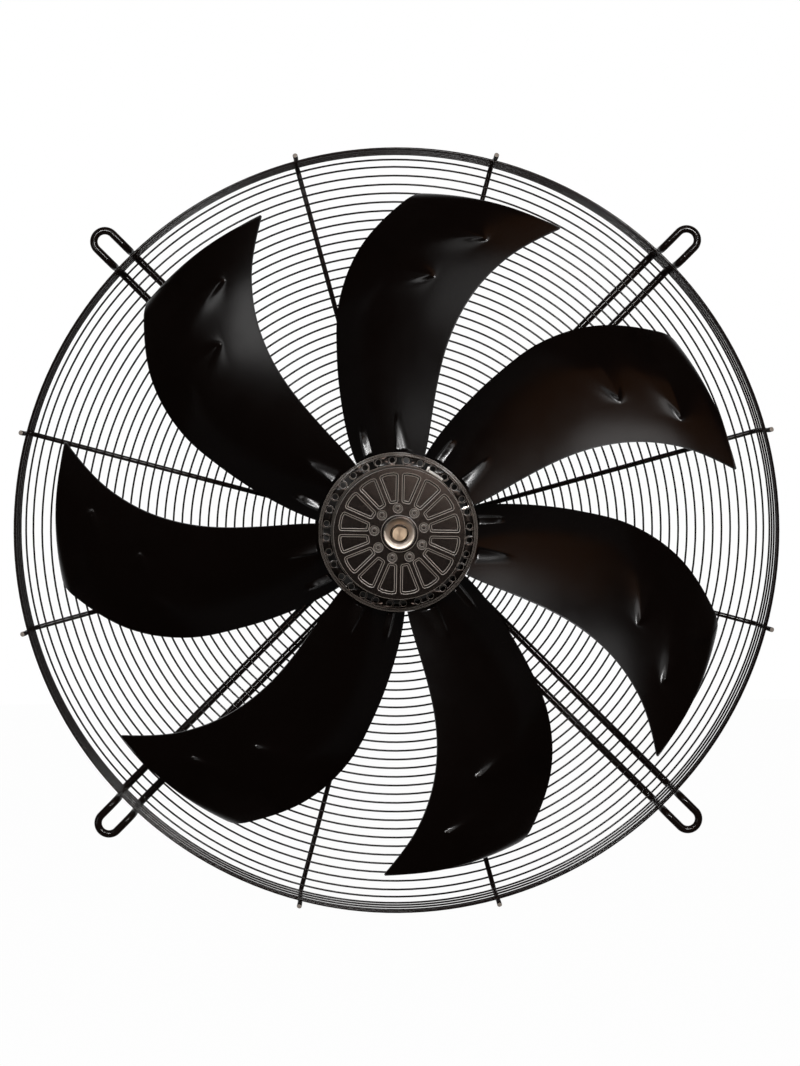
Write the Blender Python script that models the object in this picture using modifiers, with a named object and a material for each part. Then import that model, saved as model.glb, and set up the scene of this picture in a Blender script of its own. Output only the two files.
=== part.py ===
"""Axial fan: a seven-bladed impeller on an external-rotor motor, in a welded
wire guard with four looped feet.

Run with: blender --background --python part.py

The fan axis is world Y. The origin lies on it, in the plane that the feet
stand on. The rotor looks along -Y and the face of the guard lies at +Y. Every
piece is modelled with its local Z along the fan axis, the depth, and hangs on
an empty that turns this Z to world +Y. Angles are in degrees as the front view
shows them, from the right towards the top. Lengths are in metres.
"""

import math

import bmesh
import bpy
from mathutils import Matrix, Vector

# Fits
GAP = 0.0003  # between two pieces that touch
WELD = 0.0005  # how deep two welded wires sink into each other
OVERRUN = 0.002  # how far a cutter runs past what it cuts
MERGE = 0.00003  # points nearer than this are one point
RING_SAG = 0.004  # how far the flats of a wire ring may lie inside its circle

# Guard wires
RING_WIRE = 0.0023
FRONT_RING_WIRE = 0.0034
SPOKE_WIRE = 0.0058
ARM_WIRE = 0.0090
WIRE_DIRECTIONS = 12  # equally spaced; every third one is an arm
FIRST_DIRECTION = 15
FIRST_ARM = 1

# Guard rings
FACE_DEPTH = 0.104  # of the face rings, from the plane of the feet
INNER_RING_RADIUS = 0.1042
INNER_RING_PITCH = 0.0082
INNER_RINGS = 8
OUTER_RINGS = 26
CORNER_RING_STEP = 0.0087  # from the last face ring to the corner ring
CORNER_RING_INSET = 0.0043  # from the corner ring to the wall
WALL_RADIUS = 0.446
WALL_RINGS = 5
WALL_FRONT = 0.0085  # depth of the first ring of the wall
WALL_BACK_INSET = 0.0191  # of its last ring, from the face rings

# Guard spokes and arms
SPOKE_INNER = 0.070  # radius where the single wires begin
SPOKE_BEND = 0.009
SPOKE_END = 0.0005  # depth of the cut end
SPOKE_FLARE = 0.003  # how far the cut end leans outwards
SPOKE_FLARE_LENGTH = 0.0055
ARM_INNER = 0.062  # radius where the legs of an arm begin
ARM_SPACING = 0.0255  # between the middles of its two legs
ARM_BEND = 0.013
FOOT_REACH = 0.050  # of the outermost point of a foot, from the wall rings
FOOT_FLAT = 0.0002  # how deep the underside of a foot is pressed flat

# Blades
BLADES = 7
TIP_SPACE = 0.0475  # from the blade tips to the wall rings
BLADE_SHEET = 0.0025
BLADE_FRONT = -0.028  # depth of the leading edge
ROOT_DRAFT = 0.053  # from the leading to the trailing edge, at the root
TIP_DRAFT = 0.093
CAMBER_SHARE = 0.35
SPAN_SHARES = (0.0, 0.2, 0.4, 0.6, 0.8, 1.0)
LEADING_DEGREES = (19.6, 23.2, 24.1, 22.0, 17.3, 10.4)
TRAILING_DEGREES = (69.5, 62.9, 57.6, 52.8, 45.7, 35.5)
REST_TURN = -0.3  # degrees, how the impeller stands at rest

# Pressed beads of a blade: two creases on the outer half and two darts at the root
CREASE_INSETS = (0.1059, 0.0506)  # from the tips, at the leading edge
CREASE_LEANS = (0.020, 0.0257)  # how much nearer the tips they are at the trailing edge
CREASE_HEIGHT = 0.0045
CREASE_RISE = 0.009  # width of the steep flank, which looks at the hub
CREASE_FALLS = (0.038, 0.018)
CREASE_CHORD_SHARES = (0.16, 0.39, 0.83)  # where it starts, is full and ends
DART_CHORD_SHARES = (0.39, 0.83)
DART_HEIGHTS = (0.008, 0.0045)
DART_LENGTH = 0.032

# Where the sheet of a blade is bent, as shares of its chord and of its span
CHORD_SHARES = (0.0, 0.17, 0.33, DART_CHORD_SHARES[0], 0.45, 0.64, DART_CHORD_SHARES[1], 1.0)
PLAIN_SPAN_SHARES = (0.0, 0.23, 0.42, 1.0)

# Hub ring
HUB_CHANNEL = 0.0175  # width of the hub ring, outside the rotor
HUB_FRONT = -0.020
HUB_BACK = 0.026
HUB_WALL = 0.0032
HUB_LIP = 0.0022  # height and width of the two steps of its front lip
HUB_FLOOR_DEPTH = -0.009
HUB_FLOOR = 0.004
HUB_HOLES = 32
HUB_HOLE_INSET = 0.0089  # of their middles, from the outside
HUB_HOLE = 0.0066
HUB_SLOTS = 16
HUB_SLOT = 0.0076  # width of a slot at both ends
HUB_SLOT_WAIST = 0.0032
HUB_SLOT_EDGE = 0.0014  # from a slot to the inside of the ring
RIB_TURN = -1.0  # degrees, of the slots and of the ribs of the cover

# Rotor
ROTOR_RADIUS = 0.075
ROTOR_WALL = 0.006
ROTOR_BACK = 0.026
COVER_OVERHANG = 0.0006  # of the cover over the rotor
COVER_FRONT = -0.080
COVER_BACK = -0.068
COVER_EDGE = 0.004
POCKETS = 16
POCKET_INNER = 0.0355
POCKET_EDGE = 0.0059  # from a pocket to the outside of the cover
POCKET_DEPTH = 0.0055
POCKET_CORNER = 0.0035
POCKET_RIB = 0.005
BOSS_RADIUS = 0.0225
BOSS_LIP = 0.003
BOSS_HEIGHT = 0.002
BOSS_FLOOR = 0.004
COVER_SCREWS = 9
SCREW_PLACE_RADIUS = 0.0288
SCREW_HEAD = 0.0084
SCREW_HEIGHT = 0.0052
SCREW_BORE = 0.0102
SCREW_BORE_DEPTH = 0.006
SCREW_TURN = 13.5  # degrees
COLLAR_INNER = 0.0109
COLLAR_OUTER = 0.0163
COLLAR_HEIGHT = 0.0035

# Shaft, bearings and stator
SHAFT_RADIUS = 0.009
SHAFT_FRONT = -0.088
SHAFT_BACK = 0.023
SHAFT_CHAMFER = 0.0008
SHAFT_FLANGE_RADIUS = 0.036
SHAFT_FLANGE = 0.008
BEARING_RADIUS = 0.0175
BEARING_WIDTH = 0.010
FRONT_BEARING = -0.056
REAR_BEARING = 0.011
TUBE_WALL = 0.0045
TUBE_FRONT = -0.058
MAGNET = 0.0065
CORE_FRONT = -0.042
CORE_BACK = 0.008
WINDING_OVERHANG = 0.010
WINDING_STEP = 0.006
AIR_GAP = 0.0012
STATOR_FLANGE_INSET = 0.003  # of its outside, from the rotor's
STATOR_FLANGE_FRONT = 0.030
STATOR_FLANGE = 0.008

# Motor housing and its plate
HOUSING_RADIUS = 0.064
HOUSING_FINS = 12
FIN_HEIGHT = 0.009
FIN_WIDTH = 0.003
FOOT_FLANGE_INSET = 0.008  # of its outside, from the plate's
FOOT_FLANGE = 0.007
PLATE_INSET = 0.0072  # of its outside, from the innermost ring
PLATE = 0.004
PLATE_BOLTS = 4
BOLT_INSET = 0.017  # from the outside of the plate
BOLT = 0.006
BOLT_HEAD = 0.0115
BOLT_HEAD_HEIGHT = 0.004
BOLT_DEPTH = 0.005  # how far it reaches into the flange

# Terminal box on the back of the motor
BOX_SIDE = 0.080
BOX_ROUNDING = 0.006
BOX_PROUD = 0.032  # from the face rings to the back of the box
BOX_CLEARANCE = 0.0012
LID = 0.004
LID_SCREW_INSET = 0.008
LID_SCREW = 0.006
LID_SCREW_HEIGHT = 0.0024
GLAND_INSET = 0.015  # of its middle, from the back of the box
GLAND_NUT = 0.024
GLAND_NUT_LENGTH = 0.006
GLAND_RADIUS = 0.0095
GLAND_LENGTH = 0.020
GLAND_BORE = 0.005

# Facets
HIDDEN_STEPS = 12
TURNED_STEPS = 16
FINE_STEPS = 24
HOLE_SIDES = 6
WALL_RING_SIDES = 24  # a multiple of the wire directions
RING_SECTION_SIDES = 3
SPOKE_SECTION_SIDES = 6
ARM_SECTION_SIDES = 6
BEND_STEPS = 2
LOOP_STEPS = 6

# What follows from these sizes
RING_SECTION_SPAN = 1 + math.cos(math.pi / RING_SECTION_SIDES)
RING_SECTION_REACH = math.sin(2 * math.pi / RING_SECTION_SIDES)
SPOKE_APOTHEM_SHARE = math.cos(math.pi / SPOKE_SECTION_SIDES)
CORNER_RING_RADIUS = WALL_RADIUS - CORNER_RING_INSET
LAST_RING_RADIUS = CORNER_RING_RADIUS - CORNER_RING_STEP
INNER_RINGS_END = INNER_RING_RADIUS + (INNER_RINGS - 1) * INNER_RING_PITCH
OUTER_RING_PITCH = (LAST_RING_RADIUS - INNER_RINGS_END) / OUTER_RINGS
BLADE_TIP_RADIUS = WALL_RADIUS - TIP_SPACE
CREASE_RADII = [BLADE_TIP_RADIUS - inset for inset in CREASE_INSETS]
HUB_RADIUS = ROTOR_RADIUS + HUB_CHANNEL
COVER_RADIUS = ROTOR_RADIUS + COVER_OVERHANG
POCKET_OUTER = COVER_RADIUS - POCKET_EDGE
STATOR_FLANGE_RADIUS = ROTOR_RADIUS - STATOR_FLANGE_INSET
RING_TUBE = RING_WIRE / RING_SECTION_SPAN
FRONT_RING_TUBE = FRONT_RING_WIRE / RING_SECTION_SPAN
FACE_BACK = FACE_DEPTH + RING_TUBE * RING_SECTION_REACH
WALL_OUTSIDE = WALL_RADIUS + RING_TUBE
WELDED_FRONT = FACE_BACK - WELD
WELDED_DEPTH = WELDED_FRONT + SPOKE_WIRE / 2 * SPOKE_APOTHEM_SHARE
WELDED_RADIUS = WALL_OUTSIDE - WELD + SPOKE_WIRE / 2 * SPOKE_APOTHEM_SHARE
SPOKE_DEPTH = FACE_BACK + GAP + SPOKE_WIRE / 2
SPOKE_RADIUS = WALL_OUTSIDE + GAP + SPOKE_WIRE / 2
ARM_DEPTH = FACE_BACK + GAP + ARM_WIRE / 2
ARM_RADIUS = WALL_OUTSIDE + GAP + ARM_WIRE / 2
FOOT_DEPTH = ARM_WIRE / 2 * math.cos(math.pi / ARM_SECTION_SIDES) - FOOT_FLAT
LOOP_RADIUS = WALL_RADIUS + FOOT_REACH - ARM_WIRE / 2 - ARM_SPACING / 2
SPOKE_JOINT = (LAST_RING_RADIUS + CORNER_RING_RADIUS) / 2
BLADE_ROOT_RADIUS = HUB_RADIUS + GAP + BLADE_SHEET / 2 * max(DART_HEIGHTS) / DART_LENGTH
BLADE_SPAN = BLADE_TIP_RADIUS - BLADE_ROOT_RADIUS
PLATE_BACK = WELDED_FRONT - GAP
PLATE_FRONT = PLATE_BACK - PLATE
PLATE_RADIUS = INNER_RING_RADIUS - PLATE_INSET
FOOT_FLANGE_RADIUS = PLATE_RADIUS - FOOT_FLANGE_INSET
BOLT_PLACE_RADIUS = PLATE_RADIUS - BOLT_INSET
BOX_BACK = FACE_DEPTH + BOX_PROUD
GLAND_DEPTH = BOX_BACK - GLAND_INSET
HOUSING_FRONT = STATOR_FLANGE_FRONT + STATOR_FLANGE + GAP
HOUSING_BACK = PLATE_FRONT - GAP
HIDDEN_SHARE = math.cos(math.pi / HIDDEN_STEPS)
FINE_SHARE = math.cos(math.pi / FINE_STEPS)
SHAFT_BORE = (SHAFT_RADIUS + GAP) / FINE_SHARE
BEARING_BORE = (SHAFT_RADIUS + GAP) / HIDDEN_SHARE
TUBE_BORE = BEARING_RADIUS + GAP
TUBE_RADIUS = TUBE_BORE + TUBE_WALL
CORE_BORE = TUBE_RADIUS + GAP
BELL_INNER = ROTOR_RADIUS - ROTOR_WALL
MAGNET_OUTER = BELL_INNER - GAP
MAGNET_INNER = MAGNET_OUTER - MAGNET
CORE_RADIUS = MAGNET_INNER * HIDDEN_SHARE - AIR_GAP
HUB_BORE = ROTOR_RADIUS + GAP
BOSS_FLOOR_DEPTH = COVER_FRONT + BOSS_FLOOR
PLATE_HOLE = BOX_SIDE / 2 + BOX_CLEARANCE


def clear_scene():
    for old in list(bpy.data.objects):
        bpy.data.objects.remove(old, do_unlink=True)


def new_collection(name, helper=False):
    made = bpy.data.collections.new(name)
    bpy.context.scene.collection.children.link(made)
    made.hide_render = helper
    return made


def new_material(name, colour, roughness, metallic):
    made = bpy.data.materials.new(name)
    made.use_nodes = True
    shader = made.node_tree.nodes["Principled BSDF"]
    shader.inputs["Base Color"].default_value = (*colour, 1)
    shader.inputs["Roughness"].default_value = roughness
    shader.inputs["Metallic"].default_value = metallic
    return made


def new_empty(name, parent=None, turned=0):
    empty = bpy.data.objects.new(name, None)
    parts.objects.link(empty)
    empty.parent = parent
    empty.rotation_euler.x = turned
    return empty


def place(name, data, parent, look, angle=0):
    """A piece of the object, turned about the fan axis by an angle of the front view."""
    piece = bpy.data.objects.new(name, data)
    parts.objects.link(piece)
    piece.parent = parent
    piece.rotation_euler.z = -math.radians(angle)
    data.materials.clear()
    data.materials.append(look)
    if isinstance(data, bpy.types.Mesh):
        data.shade_smooth()
        data.set_sharp_from_angle(angle=math.radians(35))
    return piece


def cutter(name, mesh, parent, angle=0):
    """A helper that a Boolean reads, left out of the object itself."""
    tool = bpy.data.objects.new(name, mesh)
    helpers.objects.link(tool)
    tool.parent = parent
    tool.rotation_euler.z = -math.radians(angle)
    tool.hide_render = True
    tool.display_type = "WIRE"
    return tool


def boolean(piece, tool, operation):
    step = piece.modifiers.new(tool.name, "BOOLEAN")
    step.object = tool
    step.operation = operation
    step.solver = "EXACT"


def polar(radius, angle, depth=0.0):
    """A point in a piece's own space, at an angle of the front view."""
    turn = math.radians(angle)
    return Vector((radius * math.cos(turn), -radius * math.sin(turn), depth))


def rounded(points, radius, steps):
    """The open path through the points, with an arc at every corner."""
    path = [points[0]]
    for before, corner, after in zip(points, points[1:], points[2:]):
        to_before = (before - corner).normalized()
        to_after = (after - corner).normalized()
        half = to_before.angle(to_after) / 2
        centre = corner + (to_before + to_after).normalized() * radius / math.sin(half)
        first = corner + to_before * radius / math.tan(half) - centre
        last = corner + to_after * radius / math.tan(half) - centre
        normal = first.cross(last).normalized()
        for i in range(steps + 1):
            turn = Matrix.Rotation((math.pi - 2 * half) * i / steps, 3, normal)
            path.append(centre + turn @ first)
    return path + [points[-1]]


def rounded_outline(points, radius, steps):
    """The closed flat outline through the points, with an arc at every corner."""
    around = [points[-1], *points, points[0]]
    return rounded(around, radius, steps)[1:-1]


def wire_curve(name, path, wire, sides):
    """A wire with an even number of flats, four or more, along a path."""
    curve = bpy.data.curves.new(name, "CURVE")
    curve.dimensions = "3D"
    curve.bevel_depth = wire / 2
    curve.bevel_resolution = (sides - 4) // 2
    curve.use_fill_caps = True
    spline = curve.splines.new("POLY")
    spline.points.add(len(path) - 1)
    for point, place_at in zip(spline.points, path):
        point.co = (*place_at, 1)
    return curve


def mesh_of_curve(curve):
    """A curve's surface as one welded mesh."""
    scratch = bpy.data.objects.new(curve.name, curve)
    helpers.objects.link(scratch)
    bpy.context.view_layer.update()
    graph = bpy.context.evaluated_depsgraph_get()
    mesh = bpy.data.meshes.new_from_object(scratch.evaluated_get(graph))
    bpy.data.objects.remove(scratch)
    work = bmesh.new()
    work.from_mesh(mesh)
    bmesh.ops.remove_doubles(work, verts=work.verts, dist=MERGE)
    bmesh.ops.recalc_face_normals(work, faces=work.faces)
    work.to_mesh(mesh)
    work.free()
    return mesh


def prisms(name, outlines, front, back):
    """Flat outlines, given as closed lists of points, thickened from one depth to another."""
    curve = bpy.data.curves.new(name, "CURVE")
    curve.dimensions = "2D"
    curve.fill_mode = "BOTH"
    curve.extrude = (back - front) / 2
    for outline in outlines:
        spline = curve.splines.new("POLY")
        spline.points.add(len(outline) - 1)
        spline.use_cyclic_u = True
        for point, place_at in zip(spline.points, outline):
            point.co = (place_at.x, place_at.y, 0, 1)
    mesh = mesh_of_curve(curve)
    mesh.transform(Matrix.Translation((0, 0, (front + back) / 2)))
    return mesh


def circle_outline(centre, radius, sides):
    return [centre + polar(radius, 360 * i / sides) for i in range(sides)]


def box_outline(from_radius, to_radius, width, angle):
    """A radial bar, seen along the fan axis."""
    corners = ((from_radius, -1), (to_radius, -1), (to_radius, 1), (from_radius, 1))
    turn = Matrix.Rotation(-math.radians(angle), 3, "Z")
    return [turn @ Vector((radius, side * width / 2, 0)) for radius, side in corners]


def turned_mesh(name, profile):
    """The edges of a closed profile of (radius, depth) points, for a Screw modifier."""
    area = sum(
        a[0] * b[1] - b[0] * a[1] for a, b in zip(profile, profile[1:] + profile[:1])
    )
    if area > 0:
        profile = profile[::-1]
    mesh = bpy.data.meshes.new(name)
    work = bmesh.new()
    corners = [work.verts.new((radius, 0, depth)) for radius, depth in profile]
    for first, second in zip(corners, corners[1:] + corners[:1]):
        if first.co.x > 0 or second.co.x > 0:
            work.edges.new((first, second))
    work.to_mesh(mesh)
    work.free()
    return mesh


def turned(name, profile, parent, look, steps=TURNED_STEPS, angle=0):
    """A piece turned about the fan axis from a closed profile of (radius, depth) points."""
    piece = place(name, turned_mesh(name, profile), parent, look, angle)
    screw = piece.modifiers.new("turn", "SCREW")
    screw.steps = steps
    screw.render_steps = steps
    screw.use_merge_vertices = True
    screw.merge_threshold = MERGE
    screw.use_smooth_shade = True
    return piece


def tube_profile(inner, outer, front, back):
    return [(outer, back), (outer, front), (inner, front), (inner, back)]


def ring_sides(radius):
    """How many sides keep a ring's flats near its circle, an even number."""
    needed = math.pi / math.acos(1 - RING_SAG / radius)
    return 2 * math.ceil(needed / 2)


def ring_wires(name, rings):
    """Wire rings as one mesh, from (radius, depth, tube radius, sides) of each."""
    made = []
    for radius, depth, tube, sides in rings:
        bpy.ops.mesh.primitive_torus_add(
            major_segments=sides,
            minor_segments=RING_SECTION_SIDES,
            major_radius=radius,
            minor_radius=tube,
            location=(0, 0, depth),
        )
        made.append(bpy.context.object)
    bpy.ops.object.select_all(action="DESELECT")
    for ring in made:
        ring.select_set(True)
    bpy.context.view_layer.objects.active = made[0]
    bpy.ops.object.transform_apply(location=True, rotation=True, scale=True)
    bpy.ops.object.join()
    mesh = made[0].data
    bpy.data.objects.remove(made[0])
    mesh.name = name
    return mesh


def wire_angles(arms):
    """Directions of the arms, or of the single spokes between them."""
    step = 360 / WIRE_DIRECTIONS
    return [
        FIRST_DIRECTION + step * i
        for i in range(WIRE_DIRECTIONS)
        if (i % 3 == FIRST_ARM) == arms
    ]


def make_guard(root, look):
    """The face and the wall of rings, each welded to the same two opposite spokes."""
    welded = [angle for angle in wire_angles(arms=False) if angle % 180 == FIRST_DIRECTION]
    face_rings = [
        INNER_RING_RADIUS + i * INNER_RING_PITCH for i in range(INNER_RINGS)
    ] + [INNER_RINGS_END + (i + 1) * OUTER_RING_PITCH for i in range(OUTER_RINGS)]
    face = place(
        "guard_face",
        ring_wires(
            "guard_face", [(r, FACE_DEPTH, RING_TUBE, ring_sides(r)) for r in face_rings]
        ),
        root,
        look,
    )
    for n, angle in enumerate(welded):
        bar = bmesh.new()
        bmesh.ops.create_cone(
            bar,
            cap_ends=True,
            segments=SPOKE_SECTION_SIDES,
            radius1=SPOKE_WIRE / 2,
            radius2=SPOKE_WIRE / 2,
            depth=SPOKE_JOINT - SPOKE_INNER,
        )
        bar.transform(Matrix.Rotation(math.radians(90), 4, "Y"))
        bar.transform(
            Matrix.Translation(((SPOKE_JOINT + SPOKE_INNER) / 2, 0, WELDED_DEPTH))
        )
        mesh = bpy.data.meshes.new(f"face_spoke_{n + 1}")
        bar.to_mesh(mesh)
        bar.free()
        boolean(face, cutter(mesh.name, mesh, root, angle), "UNION")

    step = (FACE_DEPTH - WALL_BACK_INSET - WALL_FRONT) / (WALL_RINGS - 1)
    wall_rings = [(CORNER_RING_RADIUS, FACE_DEPTH, RING_TUBE, WALL_RING_SIDES)]
    wall_rings.append(
        (WALL_OUTSIDE - FRONT_RING_TUBE, WALL_FRONT, FRONT_RING_TUBE, WALL_RING_SIDES)
    )
    for i in range(1, WALL_RINGS):
        depth = WALL_FRONT + i * step
        wall_rings.append((WALL_RADIUS, depth, RING_TUBE, WALL_RING_SIDES))
    rim = place(
        "guard_rim", ring_wires("guard_rim", wall_rings), root, look, FIRST_DIRECTION
    )
    for n, angle in enumerate(welded):
        path = spoke_path(SPOKE_JOINT + GAP, WELDED_DEPTH, WELDED_RADIUS)
        curve = wire_curve(f"rim_spoke_{n + 1}", path, SPOKE_WIRE, SPOKE_SECTION_SIDES)
        mesh = mesh_of_curve(curve)
        boolean(rim, cutter(mesh.name, mesh, root, angle), "UNION")

    loose = [angle for angle in wire_angles(arms=False) if angle not in welded]
    for n, angle in enumerate(loose):
        path = spoke_path(SPOKE_INNER, SPOKE_DEPTH, SPOKE_RADIUS)
        curve = wire_curve(f"guard_spoke_{n + 1}", path, SPOKE_WIRE, SPOKE_SECTION_SIDES)
        place(curve.name, curve, root, look, angle)


def spoke_path(start, depth, radius):
    """Along the face, round the corner and down the wall to the flared cut end."""
    bent = rounded(
        [
            Vector((start, 0, depth)),
            Vector((radius, 0, depth)),
            Vector((radius, 0, SPOKE_END + SPOKE_FLARE_LENGTH)),
        ],
        SPOKE_BEND,
        BEND_STEPS,
    )
    return bent + [Vector((radius + SPOKE_FLARE, 0, SPOKE_END))]


def make_arms(root, look):
    """Four hairpins of thick wire: two legs on the face and the wall, looped into a foot
    whose underside is flat."""
    half = ARM_SPACING / 2
    leg = rounded(
        [
            Vector((ARM_INNER, half, ARM_DEPTH)),
            Vector((ARM_RADIUS, half, ARM_DEPTH)),
            Vector((ARM_RADIUS, half, FOOT_DEPTH)),
            Vector((LOOP_RADIUS, half, FOOT_DEPTH)),
        ],
        ARM_BEND,
        BEND_STEPS,
    )
    loop = []
    for i in range(1, LOOP_STEPS):
        turn = math.pi * i / LOOP_STEPS
        across = half * math.cos(turn)
        loop.append(Vector((LOOP_RADIUS + half * math.sin(turn), across, FOOT_DEPTH)))
    other_leg = [Vector((point.x, -point.y, point.z)) for point in reversed(leg)]
    reach = WALL_RADIUS + FOOT_REACH
    floor = [polar(2 * reach, angle) for angle in (45, 135, 225, 315)]
    floor_mesh = prisms("foot_floor", [floor], -ARM_WIRE, 0)
    under = cutter("foot_floor", floor_mesh, root)
    for n, angle in enumerate(wire_angles(arms=True)):
        path = leg + loop + other_leg
        curve = wire_curve(f"guard_arm_{n + 1}", path, ARM_WIRE, ARM_SECTION_SIDES)
        arm = place(curve.name, mesh_of_curve(curve), root, look, angle)
        boolean(arm, under, "DIFFERENCE")


def smooth_at(shares, values, share):
    """The value at a share of the span, on a smooth curve through the given ones."""
    last = len(shares) - 1
    i = max(k for k in range(last) if shares[k] <= share or k == 0)
    slopes = []
    for k in (i, i + 1):
        low, high = max(k - 1, 0), min(k + 1, last)
        slopes.append((values[high] - values[low]) / (shares[high] - shares[low]))
    width = shares[i + 1] - shares[i]
    t = (share - shares[i]) / width
    rise = values[i] * (2 * t**3 - 3 * t**2 + 1) + values[i + 1] * (3 * t**2 - 2 * t**3)
    bend = slopes[0] * (t**3 - 2 * t**2 + t) + slopes[1] * (t**3 - t**2)
    return rise + bend * width


def hat(value, start, peak, end):
    """Zero outside start and end, and one at the peak."""
    if start < value <= peak:
        return (value - start) / (peak - start)
    if peak < value < end:
        return (end - value) / (end - peak)
    return 0.0


def blade_rows():
    """The rows of a blade's grid, from the hub out: the radius at the leading edge, how much
    larger it is at the trailing edge, and whether the row is the top of a crease."""
    rows = [(BLADE_ROOT_RADIUS + share * BLADE_SPAN, 0, 0) for share in PLAIN_SPAN_SHARES]
    rows.append((BLADE_ROOT_RADIUS + DART_LENGTH, 0, 0))
    for crease, lean, fall in zip(CREASE_RADII, CREASE_LEANS, CREASE_FALLS):
        rows += [(crease - CREASE_RISE, lean, 0), (crease, lean, 1), (crease + fall, lean, 0)]
    return sorted(rows)


def blade_mesh():
    """One sickle blade as an open sheet: a grid laid between its two edges, row by row."""
    rows = blade_rows()
    work = bmesh.new()
    bmesh.ops.create_grid(work, x_segments=len(rows) - 1, y_segments=len(CHORD_SHARES) - 1)
    for i, vert in enumerate(work.verts):
        column, row = divmod(i, len(rows))
        start, lean, top = rows[row]
        chord = CHORD_SHARES[column]
        radius = start + lean * chord
        span = (radius - BLADE_ROOT_RADIUS) / BLADE_SPAN
        leading = smooth_at(SPAN_SHARES, LEADING_DEGREES, span)
        trailing = smooth_at(SPAN_SHARES, TRAILING_DEGREES, span)
        draft = ROOT_DRAFT + (TIP_DRAFT - ROOT_DRAFT) * span
        back = draft * (chord - CAMBER_SHARE * chord * (1 - chord))
        lift = CREASE_HEIGHT * top * hat(chord, *CREASE_CHORD_SHARES)
        if row == 0:
            lift += sum(h for at, h in zip(DART_CHORD_SHARES, DART_HEIGHTS) if at == chord)
        depth = BLADE_FRONT + back - lift
        vert.co = polar(radius, leading + (trailing - leading) * chord, depth)
    mesh = bpy.data.meshes.new("blade")
    work.to_mesh(mesh)
    work.free()
    return mesh


def make_blades(impeller, look):
    sheet = blade_mesh()
    for n in range(BLADES):
        blade = place(f"blade_{n + 1}", sheet, impeller, look, 360 / BLADES * n)
        shell = blade.modifiers.new("sheet", "SOLIDIFY")
        shell.thickness = BLADE_SHEET
        shell.offset = 0
        shell.use_even_offset = True


def make_hub_ring(impeller, look):
    """The flanged ring that carries the blades, with its balancing holes and slots."""
    lip_inner = HUB_RADIUS - 2 * HUB_LIP
    hub = turned(
        "hub_ring",
        [
            (HUB_RADIUS, HUB_BACK),
            (HUB_RADIUS, HUB_FRONT + HUB_LIP),
            (HUB_RADIUS - HUB_LIP, HUB_FRONT),
            (lip_inner, HUB_FRONT + HUB_LIP),
            (lip_inner, HUB_FLOOR_DEPTH),
            (HUB_BORE, HUB_FLOOR_DEPTH),
            (HUB_BORE, HUB_FLOOR_DEPTH + HUB_FLOOR),
            (HUB_RADIUS - HUB_WALL, HUB_FLOOR_DEPTH + HUB_FLOOR),
            (HUB_RADIUS - HUB_WALL, HUB_BACK),
        ],
        impeller,
        look,
        FINE_STEPS,
    )
    step = 360 / HUB_SLOTS
    cuts = [slot_outline(lip_inner, step * i) for i in range(HUB_SLOTS)]
    step = 360 / HUB_HOLES
    hole_radius = HUB_RADIUS - HUB_HOLE_INSET
    cuts += [
        circle_outline(polar(hole_radius, step * (i + 0.5)), HUB_HOLE / 2, HOLE_SIDES)
        for i in range(HUB_HOLES)
    ]
    floor_back = HUB_FLOOR_DEPTH + HUB_FLOOR
    cut_mesh = prisms("hub_cuts", cuts, HUB_FLOOR_DEPTH - OVERRUN, floor_back + OVERRUN)
    boolean(hub, cutter("hub_cuts", cut_mesh, impeller, RIB_TURN), "DIFFERENCE")


def slot_outline(lip_inner, angle):
    """A slot in the floor of the hub ring, narrower in the middle, between two holes."""
    inner = (HUB_BORE + HUB_SLOT_EDGE, HUB_SLOT)
    outer = (lip_inner - HUB_SLOT_EDGE, HUB_SLOT)
    waist = (HUB_RADIUS - HUB_HOLE_INSET, HUB_SLOT_WAIST)
    turn = Matrix.Rotation(-math.radians(angle), 3, "Z")
    one_side = [Vector((radius, width / 2, 0)) for radius, width in (inner, waist, outer)]
    other_side = [Vector((point.x, -point.y, 0)) for point in reversed(one_side)]
    return [turn @ point for point in one_side + other_side]


def pocket_outline(angle):
    """One recess of the cover, between two ribs of even width."""
    half = 180 / POCKETS
    corners = []
    for radius, sides in ((POCKET_INNER, (-1, 1)), (POCKET_OUTER, (1, 0, -1))):
        spread = half - math.degrees(math.asin(POCKET_RIB / 2 / radius))
        corners += [polar(radius, angle + side * spread) for side in sides]
    sharp = [corners[0], corners[1], corners[2], corners[4]]
    soft = rounded_outline(sharp, POCKET_CORNER, 1)
    middle = corners[3]
    last = len(soft) - 2
    return soft[:last] + [middle] + soft[last:]


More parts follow.
